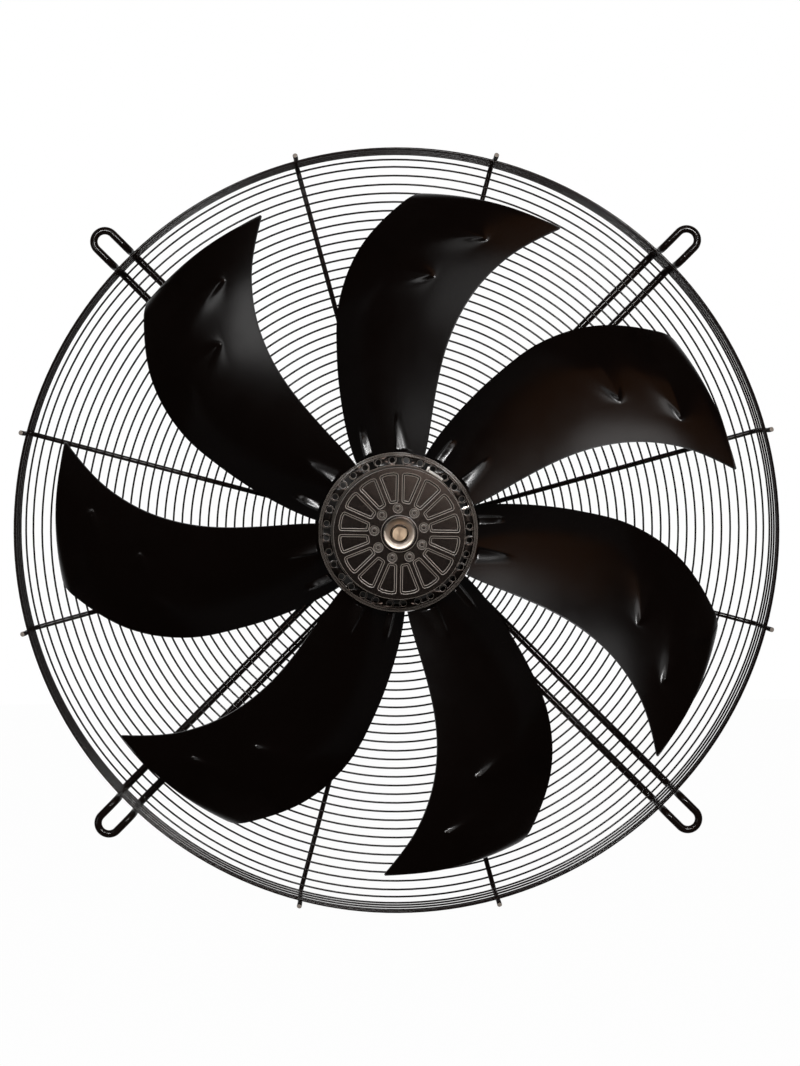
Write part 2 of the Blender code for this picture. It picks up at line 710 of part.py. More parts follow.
def make_cover(impeller, look, screw_look, collar_look):
    """The front of the rotor: ribs between pockets, and a boss inside a ring of screws."""
    boss_inner = BOSS_RADIUS - BOSS_LIP
    cover = turned(
        "rotor_cover",
        [
            (COVER_RADIUS, COVER_BACK),
            (COVER_RADIUS, COVER_FRONT + COVER_EDGE),
            (COVER_RADIUS - COVER_EDGE, COVER_FRONT),
            (BOSS_RADIUS, COVER_FRONT),
            (BOSS_RADIUS, COVER_FRONT - BOSS_HEIGHT),
            (boss_inner, COVER_FRONT - BOSS_HEIGHT),
            (boss_inner, BOSS_FLOOR_DEPTH),
            (SHAFT_BORE, BOSS_FLOOR_DEPTH),
            (SHAFT_BORE, COVER_BACK),
        ],
        impeller,
        look,
        FINE_STEPS,
    )
    step = 360 / POCKETS
    pockets = [pocket_outline(step * (i + 0.5)) for i in range(POCKETS)]
    pocket_mesh = prisms(
        "cover_pockets", pockets, COVER_FRONT - OVERRUN, COVER_FRONT + POCKET_DEPTH
    )
    boolean(cover, cutter("cover_pockets", pocket_mesh, impeller, RIB_TURN), "DIFFERENCE")
    step = 360 / COVER_SCREWS
    bores = [
        circle_outline(polar(SCREW_PLACE_RADIUS, step * i), SCREW_BORE / 2, HOLE_SIDES)
        for i in range(COVER_SCREWS)
    ]
    seat = COVER_FRONT + SCREW_BORE_DEPTH
    bore_mesh = prisms("screw_bores", bores, COVER_FRONT - OVERRUN, seat)
    boolean(cover, cutter("screw_bores", bore_mesh, impeller, SCREW_TURN), "DIFFERENCE")
    head = circle_outline(polar(SCREW_PLACE_RADIUS, 0), SCREW_HEAD / 2, HOLE_SIDES)
    for n in range(COVER_SCREWS):
        name = f"cover_screw_{n + 1}"
        mesh = prisms(name, [head], seat - GAP - SCREW_HEIGHT, seat - GAP)
        place(name, mesh, impeller, screw_look, SCREW_TURN + step * n)
    collar_back = BOSS_FLOOR_DEPTH - GAP
    turned(
        "shaft_collar",
        tube_profile(COLLAR_INNER, COLLAR_OUTER, collar_back - COLLAR_HEIGHT, collar_back),
        impeller,
        collar_look,
    )


def make_rotor(impeller, look, magnet_look):
    turned(
        "rotor_bell",
        tube_profile(BELL_INNER, ROTOR_RADIUS, COVER_BACK + GAP, ROTOR_BACK),
        impeller,
        look,
        FINE_STEPS,
    )
    turned(
        "rotor_magnets",
        tube_profile(MAGNET_INNER, MAGNET_OUTER, CORE_FRONT, CORE_BACK),
        impeller,
        magnet_look,
        HIDDEN_STEPS,
    )


def make_shaft(impeller, look):
    """The shaft, with the flange that the cover's screws clamp."""
    flange_front = COVER_BACK + GAP
    turned(
        "shaft",
        [
            (0, SHAFT_BACK),
            (SHAFT_RADIUS, SHAFT_BACK),
            (SHAFT_RADIUS, flange_front + SHAFT_FLANGE),
            (SHAFT_FLANGE_RADIUS, flange_front + SHAFT_FLANGE),
            (SHAFT_FLANGE_RADIUS, flange_front),
            (SHAFT_RADIUS, flange_front),
            (SHAFT_RADIUS, SHAFT_FRONT + SHAFT_CHAMFER),
            (SHAFT_RADIUS - SHAFT_CHAMFER, SHAFT_FRONT),
            (0, SHAFT_FRONT),
        ],
        impeller,
        look,
    )


def make_stator(root, cast_look, steel_look, copper_look):
    """What stands still inside the rotor: the bearing tube, the bearings and the core."""
    turned(
        "stator_tube",
        tube_profile(TUBE_BORE, TUBE_RADIUS, TUBE_FRONT, STATOR_FLANGE_FRONT - GAP),
        root,
        cast_look,
        HIDDEN_STEPS,
    )
    for name, front in (("bearing_front", FRONT_BEARING), ("bearing_rear", REAR_BEARING)):
        turned(
            name,
            tube_profile(BEARING_BORE, BEARING_RADIUS, front, front + BEARING_WIDTH),
            root,
            steel_look,
            HIDDEN_STEPS,
        )
    winding_inner = CORE_BORE + WINDING_STEP
    winding_outer = CORE_RADIUS - WINDING_STEP
    turned(
        "stator_core",
        [
            (CORE_RADIUS, CORE_BACK),
            (CORE_RADIUS, CORE_FRONT),
            (winding_outer, CORE_FRONT - WINDING_OVERHANG),
            (winding_inner, CORE_FRONT - WINDING_OVERHANG),
            (CORE_BORE, CORE_FRONT),
            (CORE_BORE, CORE_BACK),
            (winding_inner, CORE_BACK + WINDING_OVERHANG),
            (winding_outer, CORE_BACK + WINDING_OVERHANG),
        ],
        root,
        copper_look,
        HIDDEN_STEPS,
    )
    turned(
        "stator_flange",
        [
            (0, STATOR_FLANGE_FRONT + STATOR_FLANGE),
            (STATOR_FLANGE_RADIUS, STATOR_FLANGE_FRONT + STATOR_FLANGE),
            (STATOR_FLANGE_RADIUS, STATOR_FLANGE_FRONT),
            (0, STATOR_FLANGE_FRONT),
        ],
        root,
        cast_look,
        FINE_STEPS,
    )


def make_housing(root, look, plate_look, bolt_look):
    """The finned motor housing, bolted to the plate that the wires are welded to."""
    housing = turned(
        "motor_housing",
        [
            (0, HOUSING_BACK),
            (FOOT_FLANGE_RADIUS, HOUSING_BACK),
            (FOOT_FLANGE_RADIUS, HOUSING_BACK - FOOT_FLANGE),
            (HOUSING_RADIUS, HOUSING_BACK - FOOT_FLANGE),
            (HOUSING_RADIUS, HOUSING_FRONT),
            (0, HOUSING_FRONT),
        ],
        root,
        look,
        FINE_STEPS,
    )
    step = 360 / HOUSING_FINS
    fins = [
        box_outline(HOUSING_RADIUS - FIN_HEIGHT, HOUSING_RADIUS + FIN_HEIGHT, FIN_WIDTH, step * i)
        for i in range(HOUSING_FINS)
    ]
    fin_mesh = prisms(
        "housing_fins", fins, HOUSING_FRONT + FIN_HEIGHT, HOUSING_BACK - FOOT_FLANGE / 2
    )
    boolean(housing, cutter("housing_fins", fin_mesh, root, step / 2), "UNION")

    edge = circle_outline(Vector(), PLATE_RADIUS, FINE_STEPS)
    window = [
        Vector((x * PLATE_HOLE, y * PLATE_HOLE, 0))
        for x, y in ((-1, -1), (1, -1), (1, 1), (-1, 1))
    ]
    window = rounded_outline(window, BOX_ROUNDING, BEND_STEPS)
    plate_mesh = prisms("motor_plate", [edge, window], PLATE_FRONT, PLATE_BACK)
    plate = place("motor_plate", plate_mesh, root, plate_look)

    step = 360 / PLATE_BOLTS
    bores = [
        circle_outline(polar(BOLT_PLACE_RADIUS, step * i), BOLT / 2 + GAP, HOLE_SIDES)
        for i in range(PLATE_BOLTS)
    ]
    bolt_end = HOUSING_BACK - BOLT_DEPTH
    bore_mesh = prisms("bolt_bores", bores, bolt_end - GAP, PLATE_BACK + OVERRUN)
    bore = cutter("bolt_bores", bore_mesh, root)
    boolean(housing, bore, "DIFFERENCE")
    boolean(plate, bore, "DIFFERENCE")
    seat = PLATE_BACK + GAP
    for n in range(PLATE_BOLTS):
        bolt = turned(
            f"plate_bolt_{n + 1}",
            [
                (0, seat + BOLT_HEAD_HEIGHT),
                (BOLT_HEAD / 2, seat + BOLT_HEAD_HEIGHT),
                (BOLT_HEAD / 2, seat),
                (BOLT / 2, seat),
                (BOLT / 2, bolt_end),
                (0, bolt_end),
            ],
            root,
            bolt_look,
            HOLE_SIDES,
        )
        bolt.location = polar(BOLT_PLACE_RADIUS, step * n)


def make_terminal_box(root, look, screw_look):
    """The terminal box behind the motor, with its lid, screws and cable gland."""
    front = HOUSING_BACK + GAP
    half = BOX_SIDE / 2
    square = [Vector((x * half, y * half, 0)) for x, y in ((-1, -1), (1, -1), (1, 1), (-1, 1))]
    outline = rounded_outline(square, BOX_ROUNDING, BEND_STEPS)
    place("terminal_box", prisms("terminal_box", [outline], front, BOX_BACK), root, look)
    lid_back = BOX_BACK + GAP + LID
    place(
        "terminal_lid", prisms("terminal_lid", [outline], BOX_BACK + GAP, lid_back), root, look
    )
    inset = half - LID_SCREW_INSET
    for n, (x, y) in enumerate(((-1, -1), (1, -1), (1, 1), (-1, 1))):
        name = f"lid_screw_{n + 1}"
        head = circle_outline(Vector((x * inset, y * inset, 0)), LID_SCREW / 2, HOLE_SIDES)
        mesh = prisms(name, [head], lid_back + GAP, lid_back + GAP + LID_SCREW_HEIGHT)
        place(name, mesh, root, screw_look)

    gland = turned(
        "cable_gland",
        [
            (GLAND_BORE, 0),
            (GLAND_NUT / 2, 0),
            (GLAND_NUT / 2, GLAND_NUT_LENGTH),
            (GLAND_RADIUS, GLAND_NUT_LENGTH),
            (GLAND_RADIUS, GLAND_LENGTH),
            (GLAND_BORE, GLAND_LENGTH),
        ],
        root,
        look,
        TURNED_STEPS // 2,
    )
    gland.location = (0, half + GAP, GLAND_DEPTH)
    gland.rotation_euler.x = -math.radians(90)


clear_scene()
parts = new_collection("axial_fan")
helpers = new_collection("cutters", helper=True)

frame = new_empty("fan_axis", turned=-math.radians(90))
impeller_axis = new_empty("impeller_axis", frame)
impeller_axis.rotation_euler.z = -math.radians(REST_TURN)

wire_paint = new_material("wire_paint", (0.012, 0.012, 0.012), 0.30, 0.0)
blade_paint = new_material("blade_paint", (0.010, 0.009, 0.008), 0.28, 0.0)
cover_paint = new_material("cover_paint", (0.045, 0.034, 0.028), 0.42, 0.0)
cast_metal = new_material("cast_metal", (0.050, 0.050, 0.052), 0.50, 0.3)
bright_metal = new_material("bright_metal", (0.55, 0.53, 0.50), 0.25, 1.0)
shaft_metal = new_material("shaft_metal", (0.60, 0.48, 0.34), 0.28, 1.0)
dark_screw = new_material("dark_screw", (0.06, 0.055, 0.05), 0.35, 0.8)
winding = new_material("winding", (0.35, 0.16, 0.07), 0.45, 0.6)
magnet = new_material("magnet", (0.08, 0.08, 0.08), 0.60, 0.2)
box_plastic = new_material("box_plastic", (0.020, 0.020, 0.021), 0.50, 0.0)

make_guard(frame, wire_paint)
make_arms(frame, wire_paint)
make_housing(frame, cast_metal, wire_paint, bright_metal)
make_terminal_box(frame, box_plastic, bright_metal)
make_stator(frame, cast_metal, bright_metal, winding)
make_shaft(impeller_axis, shaft_metal)
make_rotor(impeller_axis, cast_metal, magnet)
make_cover(impeller_axis, cover_paint, dark_screw, bright_metal)
make_hub_ring(impeller_axis, cast_metal)
make_blades(impeller_axis, blade_paint)
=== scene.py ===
"""Axial fan in a wire guard: the looks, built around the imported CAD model.

The fan axis is world Y, the rotor looks along -Y, and depth means Y. Angles are
in degrees as the front view shows them, from the right towards the top.
"""

import math

import bpy
from mathutils import Matrix, Vector


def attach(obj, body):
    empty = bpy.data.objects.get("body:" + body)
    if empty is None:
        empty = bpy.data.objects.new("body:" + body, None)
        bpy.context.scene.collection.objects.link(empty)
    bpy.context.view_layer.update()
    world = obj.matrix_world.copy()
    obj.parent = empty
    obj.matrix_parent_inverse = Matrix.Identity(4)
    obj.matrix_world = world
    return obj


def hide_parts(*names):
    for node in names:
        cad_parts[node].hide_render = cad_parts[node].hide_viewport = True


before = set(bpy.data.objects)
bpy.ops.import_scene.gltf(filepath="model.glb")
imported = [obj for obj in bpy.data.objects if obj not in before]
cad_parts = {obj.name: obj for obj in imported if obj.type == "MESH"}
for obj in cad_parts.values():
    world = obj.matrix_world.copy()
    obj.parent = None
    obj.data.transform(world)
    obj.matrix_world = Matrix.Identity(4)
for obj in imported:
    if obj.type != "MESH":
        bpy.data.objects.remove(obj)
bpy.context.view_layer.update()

# Face of the guard: flat rings of thin steel wire, resistance-welded to the
# radial wires and dipped in black paint, which leaves a faint orange peel.

FACE_DEPTH = 0.104
RING_WIRE = 0.0023
INNERMOST_RING = 0.1042
INNER_PITCH = 0.0082
INNER_RINGS = [INNERMOST_RING + i * INNER_PITCH for i in range(8)]
OUTER_PITCH = 0.01044
OUTER_RINGS = [INNER_RINGS[-1] + i * OUTER_PITCH for i in range(1, 27)]


def deselect():
    bpy.ops.object.select_all(action="DESELECT")


def add_node(tree, kind, inputs, **settings):
    """A shader node. Each input is given as a value, or as the output that feeds it."""
    made = tree.nodes.new(kind)
    for name, value in settings.items():
        setattr(made, name, value)
    for name, value in inputs.items():
        if isinstance(value, bpy.types.NodeSocket):
            tree.links.new(value, made.inputs[name])
        else:
            made.inputs[name].default_value = value
    return made


def new_group(name, inputs, outputs):
    """An empty node group with its sockets, and its two end nodes."""
    group = bpy.data.node_groups.new(name, "ShaderNodeTree")
    for socket, kind in inputs:
        group.interface.new_socket(socket, in_out="INPUT", socket_type=kind)
    for socket, kind in outputs:
        group.interface.new_socket(socket, in_out="OUTPUT", socket_type=kind)
    return group, group.nodes.new("NodeGroupInput"), group.nodes.new("NodeGroupOutput")


# Surface of a coat of paint: cloudy tone, uneven gloss and a fine relief.
paint_skin, given, result = new_group(
    "paint_skin",
    (
        ("Colour", "NodeSocketColor"),
        ("Cloud", "NodeSocketFloat"),
        ("Gloss spread", "NodeSocketFloat"),
        ("Middle roughness", "NodeSocketFloat"),
        ("Grain scale", "NodeSocketFloat"),
    ),
    (
        ("Colour", "NodeSocketColor"),
        ("Roughness", "NodeSocketFloat"),
        ("Height", "NodeSocketFloat"),
    ),
)
place = add_node(paint_skin, "ShaderNodeTexCoord", {})
cloud = add_node(
    paint_skin,
    "ShaderNodeTexNoise",
    {"Vector": place.outputs["Object"], "Scale": 11.0, "Detail": 4.0},
)
centred = add_node(
    paint_skin, "ShaderNodeMath", {0: cloud.outputs["Fac"], 1: 0.5}, operation="SUBTRACT"
)
tone = add_node(
    paint_skin,
    "ShaderNodeMath",
    {0: centred.outputs[0], 1: given.outputs["Cloud"], 2: 1.0},
    operation="MULTIPLY_ADD",
)
toned = add_node(
    paint_skin,
    "ShaderNodeVectorMath",
    {0: given.outputs["Colour"], "Scale": tone.outputs[0]},
    operation="SCALE",
)
haze = add_node(
    paint_skin,
    "ShaderNodeTexNoise",
    {"Vector": place.outputs["Object"], "Scale": 38.0, "Detail": 5.0},
)
haze_centred = add_node(
    paint_skin, "ShaderNodeMath", {0: haze.outputs["Fac"], 1: 0.5}, operation="SUBTRACT"
)
gloss = add_node(
    paint_skin,
    "ShaderNodeMath",
    {
        0: haze_centred.outputs[0],
        1: given.outputs["Gloss spread"],
        2: given.outputs["Middle roughness"],
    },
    operation="MULTIPLY_ADD",
)
grain = add_node(
    paint_skin,
    "ShaderNodeTexNoise",
    {
        "Vector": place.outputs["Object"],
        "Scale": given.outputs["Grain scale"],
        "Detail": 3.0,
        "Roughness": 0.45,
    },
)
paint_skin.links.new(toned.outputs[0], result.inputs["Colour"])
paint_skin.links.new(gloss.outputs[0], result.inputs["Roughness"])
paint_skin.links.new(grain.outputs["Fac"], result.inputs["Height"])


def painted(name, colour, roughness, grain_scale, relief, cloud=0.5, spread=0.12, **plain):
    """A painted, cast or moulded surface; plain names sockets that are the same all over."""
    made = bpy.data.materials.new(name)
    made.use_nodes = True
    tree = made.node_tree
    shader = tree.nodes["Principled BSDF"]
    skin = add_node(
        tree,
        "ShaderNodeGroup",
        {
            "Colour": (*colour, 1),
            "Cloud": cloud,
            "Gloss spread": spread,
            "Middle roughness": roughness,
            "Grain scale": grain_scale,
        },
        node_tree=paint_skin,
    )
    bump = add_node(
        tree,
        "ShaderNodeBump",
        {"Height": skin.outputs["Height"], "Distance": relief, "Strength": 1.0},
    )
    tree.links.new(skin.outputs["Colour"], shader.inputs["Base Color"])
    tree.links.new(skin.outputs["Roughness"], shader.inputs["Roughness"])
    tree.links.new(bump.outputs["Normal"], shader.inputs["Normal"])
    for socket, value in plain.items():
        shader.inputs[socket.replace("_", " ")].default_value = value
    return made


def fit(piece, look, body, slot, *replaced):
    """Gives a finished piece its material, its body and the CAD nodes that it stands for."""
    piece.data.materials.clear()
    piece.data.materials.append(look)
    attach(piece, body)
    if replaced:
        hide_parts(*replaced)


def joined(name, pieces):
    """Several objects as one, with its place in its mesh."""
    deselect()
    for piece in pieces:
        piece.select_set(True)
    bpy.context.view_layer.objects.active = pieces[0]
    if len(pieces) > 1:
        bpy.ops.object.join()
    whole = bpy.context.view_layer.objects.active
    bpy.ops.object.transform_apply(location=True, rotation=True, scale=True)
    whole.name = name
    whole.data.name = name
    deselect()
    return whole


def wire_ring(radius, depth, wire, segments=160):
    deselect()
    bpy.ops.mesh.primitive_torus_add(
        major_segments=segments,
        minor_segments=8,
        major_radius=radius,
        minor_radius=wire / 2,
        location=(0, depth, 0),
        rotation=(math.radians(90), 0, 0),
    )
    bpy.ops.object.shade_smooth()
    return bpy.context.object


wire_paint = painted(
    "wire_paint",
    (0.0045, 0.0028, 0.0024),
    roughness=0.12,
    grain_scale=700,
    relief=0.00002,
    spread=0.08,
    Specular_IOR_Level=0.25,
)
face_rings = joined(
    "guard_face_rings",
    [wire_ring(radius, FACE_DEPTH, RING_WIRE) for radius in INNER_RINGS + OUTER_RINGS],
)
fit(face_rings, wire_paint, "guard_and_stator", "guard_wire", "guard_face")

# Wall of the guard: one ring at the corner and a stack of rings down to the
# feet, of the same wire, except the front one, which is thicker.

WALL_RADIUS = 0.4463
CORNER_RADIUS = 0.4417
WALL_SIDES = 192
FRONT_WIRE = 0.0034
FRONT_RING_RADIUS = WALL_RADIUS + RING_WIRE / 2 - FRONT_WIRE / 2
FRONT_RING_DEPTH = 0.0085
WALL_PITCH = 0.0191
WALL_DEPTHS = [FRONT_RING_DEPTH + i * WALL_PITCH for i in range(1, 5)]

wall = [
    wire_ring(CORNER_RADIUS, FACE_DEPTH, RING_WIRE, WALL_SIDES),
    wire_ring(FRONT_RING_RADIUS, FRONT_RING_DEPTH, FRONT_WIRE, WALL_SIDES),
]
wall += [wire_ring(WALL_RADIUS, depth, RING_WIRE, WALL_SIDES) for depth in WALL_DEPTHS]
wall_rings = joined("guard_wall_rings", wall)
fit(wall_rings, wire_paint, "guard_and_stator", "guard_wire", "guard_rim")

# Spokes: eight single wires behind the rings, bent round the corner and cut
# off at the front, where the shears leave a slightly rounded end.

SPOKE_WIRE = 0.0058
SPOKE_INNER = 0.070
WELD = 0.0003
SPOKE_DEPTH = FACE_DEPTH + RING_WIRE / 2 + SPOKE_WIRE / 2 - WELD
SPOKE_RADIUS = WALL_RADIUS + RING_WIRE / 2 + SPOKE_WIRE / 2 - WELD
SPOKE_BEND = 0.009
SPOKE_STRAIGHT = 0.006
SPOKE_END = 0.0005
SPOKE_FLARE = 0.003
END_ROUNDING_SHARE = 0.3125
WELDED_SPOKES = (15, 195)
LOOSE_SPOKES = (75, 105, 165, 255, 285, 345)


def at(angle, radius, depth, across=0.0):
    """A world point on a ray of the front view, moved across it to the left."""
    turn = math.radians(angle)
    return Vector(
        (
            radius * math.cos(turn) - across * math.sin(turn),
            depth,
            radius * math.sin(turn) + across * math.cos(turn),
        )
    )


def with_bends(points, bend, steps=8):
    """The open path through the points, with an arc of that radius at every corner."""
    path = [points[0]]
    for before, corner, after in zip(points, points[1:], points[2:]):
        back = (before - corner).normalized()
        ahead = (after - corner).normalized()
        half = back.angle(ahead) / 2
        centre = corner + (back + ahead).normalized() * bend / math.sin(half)
        start = corner + back * bend / math.tan(half) - centre
        end = corner + ahead * bend / math.tan(half) - centre
        axis = start.cross(end).normalized()
        sweep = math.pi - 2 * half
        for i in range(steps + 1):
            path.append(centre + Matrix.Rotation(sweep * i / steps, 3, axis) @ start)
    return path + [points[-1]]


def select_only(piece):
    deselect()
    piece.select_set(True)
    bpy.context.view_layer.objects.active = piece


def add_line(curve, points, closed=False):
    """Adds a line through the points to a curve."""
    line = curve.splines.new("POLY")
    line.points.add(len(points) - 1)
    line.use_cyclic_u = closed
    for point, place_at in zip(line.points, points):
        point.co = (*place_at, 1)


def from_curve(name, curve):
    """The mesh that a curve makes, as an object."""
    piece = bpy.data.objects.new(name, curve)
    bpy.context.scene.collection.objects.link(piece)
    select_only(piece)
    bpy.ops.object.convert(target="MESH")
    return bpy.context.object


def tidy_mesh(piece):
    """Merges the doubles of a mesh and turns its faces outwards."""
    select_only(piece)
    bpy.ops.object.mode_set(mode="EDIT")
    bpy.ops.mesh.select_all(action="SELECT")
    bpy.ops.mesh.remove_doubles(threshold=0.00002)
    bpy.ops.mesh.normals_make_consistent(inside=False)
    bpy.ops.object.mode_set(mode="OBJECT")


def with_modifier(piece, kind, **settings):
    """Adds a modifier to a piece and applies it."""
    modifier = piece.modifiers.new(kind.lower(), kind)
    for name, value in settings.items():
        setattr(modifier, name, value)
    select_only(piece)
    bpy.ops.object.modifier_apply(modifier=modifier.name)


def smooth(piece, degrees=35):
    """Shades a piece smooth, apart from edges that are sharper than the angle."""
    select_only(piece)
    bpy.ops.object.shade_smooth_by_angle(angle=math.radians(degrees))
    deselect()


def bent_wire(name, path, wire, resolution=4):
    """A wire swept along a path, with the edges of its two cut ends rounded."""
    curve = bpy.data.curves.new(name, "CURVE")
    curve.dimensions = "3D"
    curve.bevel_depth = wire / 2
    curve.bevel_resolution = resolution
    curve.use_fill_caps = True
    add_line(curve, path)
    piece = from_curve(name, curve)
    tidy_mesh(piece)
    with_modifier(
        piece,
        "BEVEL",
        width=wire * END_ROUNDING_SHARE,
        segments=4,
        limit_method="ANGLE",
        angle_limit=math.radians(60),
    )
    smooth(piece, 50)
    return piece


# Painted highlight: a lighter paint for rounded edges that face forwards, standing in for the
# glints of the lamps; on convex rims it also stands for worn paint.
painted_edge_highlight = painted(
    "painted_edge_highlight",
    (0.220, 0.190, 0.165),
    roughness=0.30,
    grain_scale=1900,
    relief=0.000009,
    cloud=1.0,
    spread=0.25,
)


def paint_edge_highlight(piece, flattest, steepest, front=0.0):
    """Paints a highlight on the rounded edges that face forwards, told by their slope; on convex
    rims it also gives the look of worn paint.
    """
    piece.data.materials.append(painted_edge_highlight)
    for face in piece.data.polygons:
        if flattest > -face.normal.y > steepest and face.center.y < front:
            face.material_index = 1


for n, angle in enumerate(LOOSE_SPOKES + WELDED_SPOKES):
    route = [
        at(angle, SPOKE_INNER, SPOKE_DEPTH),
        at(angle, SPOKE_RADIUS, SPOKE_DEPTH),
        at(angle, SPOKE_RADIUS, SPOKE_STRAIGHT),
    ]
    route = with_bends(route, SPOKE_BEND)
    route.append(at(angle, SPOKE_RADIUS + SPOKE_FLARE, SPOKE_END))
    spoke = bent_wire(f"spoke_{n + 1}", route, SPOKE_WIRE)
    stands_for = [f"guard_spoke_{n + 1}"] if angle in LOOSE_SPOKES else []
    fit(spoke, wire_paint, "guard_and_stator", "guard_wire", *stands_for)
    # The rounded front ends get a painted highlight: lighter paint on their faces that face
    # forwards.
    paint_edge_highlight(spoke, flattest=1.01, steepest=0.60, front=0.004)

# Arms: four hairpins of thick wire that carry the motor. Both legs run behind
# the rings and down the wall, and the loop between them is the slotted foot.

ARM_WIRE = 0.0090
ARM_INNER = 0.062
ARM_HALF = 0.01275
ARM_BEND = 0.013
ARM_DEPTH = FACE_DEPTH + RING_WIRE / 2 + ARM_WIRE / 2 - WELD
ARM_RADIUS = WALL_RADIUS + RING_WIRE / 2 + ARM_WIRE / 2 - WELD
FOOT_TIP = 0.496
LOOP_RADIUS = FOOT_TIP - ARM_WIRE / 2 - ARM_HALF
LOOP_STEPS = 20


def leg_corners(angle, side):
    """The corners of one leg of a hairpin, from the motor plate out to its foot."""
    return [
        at(angle, ARM_INNER, ARM_DEPTH, side),
        at(angle, ARM_RADIUS, ARM_DEPTH, side),
        at(angle, ARM_RADIUS, ARM_WIRE / 2, side),
        at(angle, LOOP_RADIUS, ARM_WIRE / 2, side),
    ]


for n, angle in enumerate((45, 135, 225, 315)):
    way_out = with_bends(leg_corners(angle, ARM_HALF), ARM_BEND)
    way_back = with_bends(leg_corners(angle, -ARM_HALF)[::-1], ARM_BEND)
    loop = []
    for i in range(1, LOOP_STEPS):
        turn = math.pi * i / LOOP_STEPS
        reach = LOOP_RADIUS + ARM_HALF * math.sin(turn)
        loop.append(at(angle, reach, ARM_WIRE / 2, ARM_HALF * math.cos(turn)))
    arm = bent_wire(f"arm_{n + 1}", way_out + loop + way_back, ARM_WIRE, 6)
    fit(arm, wire_paint, "guard_and_stator", "guard_wire", f"guard_arm_{n + 1}")

# Motor plate: a flat round plate welded to the inner ends of the wires, with a
# square window for the terminal box and a hexagon bolt near each side.

PLATE_RADIUS = 0.097
PLATE_FRONT = 0.1006
PLATE_BACK = 0.1049
PLATE_EDGE = 0.0005
WINDOW_HALF = 0.0412
WINDOW_CORNER = 0.006
BOLT_CIRCLE = 0.080
BOLT_HEAD = 0.0064
BOLT_TOP = 0.0058
WASHER_RADIUS = 0.0078
WASHER = 0.0012
SHANK_RADIUS = 0.0030
SHANK_END = -0.008


def circle(radius, sides, centre=(0.0, 0.0), turned_by=0.0):
    """A closed outline of the front view, as (right, up) points."""
    made = []
    for i in range(sides):
        turn = math.radians(turned_by) + 2 * math.pi * i / sides
        made.append((centre[0] + radius * math.cos(turn), centre[1] + radius * math.sin(turn)))
    return made


def soft_corners(outline, radius, steps=4):
    """A closed outline with an arc at every corner."""
    points = [Vector((x, y, 0)) for x, y in outline]
    path = with_bends([points[-1], *points, points[0]], radius, steps)[1:-1]
    return [(point.x, point.y) for point in path]


def square(half, rounding, steps):
    """The outline of a square with rounded corners, in the middle of the front view."""
    corners = [(half, half), (-half, half), (-half, -half), (half, -half)]
    return soft_corners(corners, rounding, steps)


def cut_out(name, outlines, depth, **thickness):
    """A flat piece that fills closed outlines of the front view, its middle at that depth."""
    curve = bpy.data.curves.new(name, "CURVE")
    curve.dimensions = "2D"
    curve.fill_mode = "BOTH"
    for setting, value in thickness.items():
        setattr(curve, setting, value)
    for outline in outlines:
        add_line(curve, [(x, y, 0) for x, y in outline], closed=True)
    piece = from_curve(name, curve)
    piece.location.y = depth
    piece.rotation_euler.x = math.radians(90)
    return joined(name, [piece])


def plate(name, outline, holes, front, back, edge):
    """A flat piece with holes, cut from the front view's outline, its edges rounded."""
    piece = cut_out(
        name,
        [outline, *[hole[::-1] for hole in holes]],
        (front + back) / 2,
        extrude=(back - front) / 2 - edge,
        bevel_depth=edge,
        bevel_resolution=2,
        offset=-edge,
    )
    tidy_mesh(piece)
    smooth(piece)
    return piece


def turned(name, profile, sides=96, edge=0.0, closed=True):
    """A turned piece: half its section, as (radius, depth) points, spun round the axis."""
    deselect()
    bpy.ops.mesh.primitive_circle_add(vertices=len(profile))
    piece = bpy.context.object
    piece.name = name
    piece.data.name = name
    for vert, (radius, depth) in zip(piece.data.vertices, profile):
        vert.co = (radius, depth, 0)
    bpy.ops.object.mode_set(mode="EDIT")
    if not closed:
        bpy.ops.mesh.select_mode(type="EDGE")
        bpy.ops.mesh.select_all(action="DESELECT")
        bpy.ops.object.mode_set(mode="OBJECT")
        for line in piece.data.edges:
            line.select = set(line.vertices) == {0, len(profile) - 1}
        bpy.ops.object.mode_set(mode="EDIT")
        bpy.ops.mesh.delete(type="EDGE_FACE")
        bpy.ops.mesh.select_mode(type="VERT")
    bpy.ops.mesh.select_all(action="SELECT")
    bpy.ops.mesh.spin(steps=sides, angle=2 * math.pi, center=(0, 0, 0), axis=(0, 1, 0))
    bpy.ops.object.mode_set(mode="OBJECT")
    tidy_mesh(piece)
    if edge:
        with_modifier(
            piece,
            "BEVEL",
            width=edge,
            segments=3,
            limit_method="ANGLE",
            angle_limit=math.radians(40),
        )
    smooth(piece)
    return piece


def moved(piece, *matrices):
    """Moves or turns the mesh itself, so that the object stays at the origin."""
    for matrix in matrices:
        piece.data.transform(matrix)


motor_plate = plate(
    "plate_of_motor",
    circle(PLATE_RADIUS, 128),
    [square(WINDOW_HALF, WINDOW_CORNER, 4)],
    PLATE_FRONT,
    PLATE_BACK,
    PLATE_EDGE,
)
fit(motor_plate, wire_paint, "guard_and_stator", "guard_wire", "motor_plate")

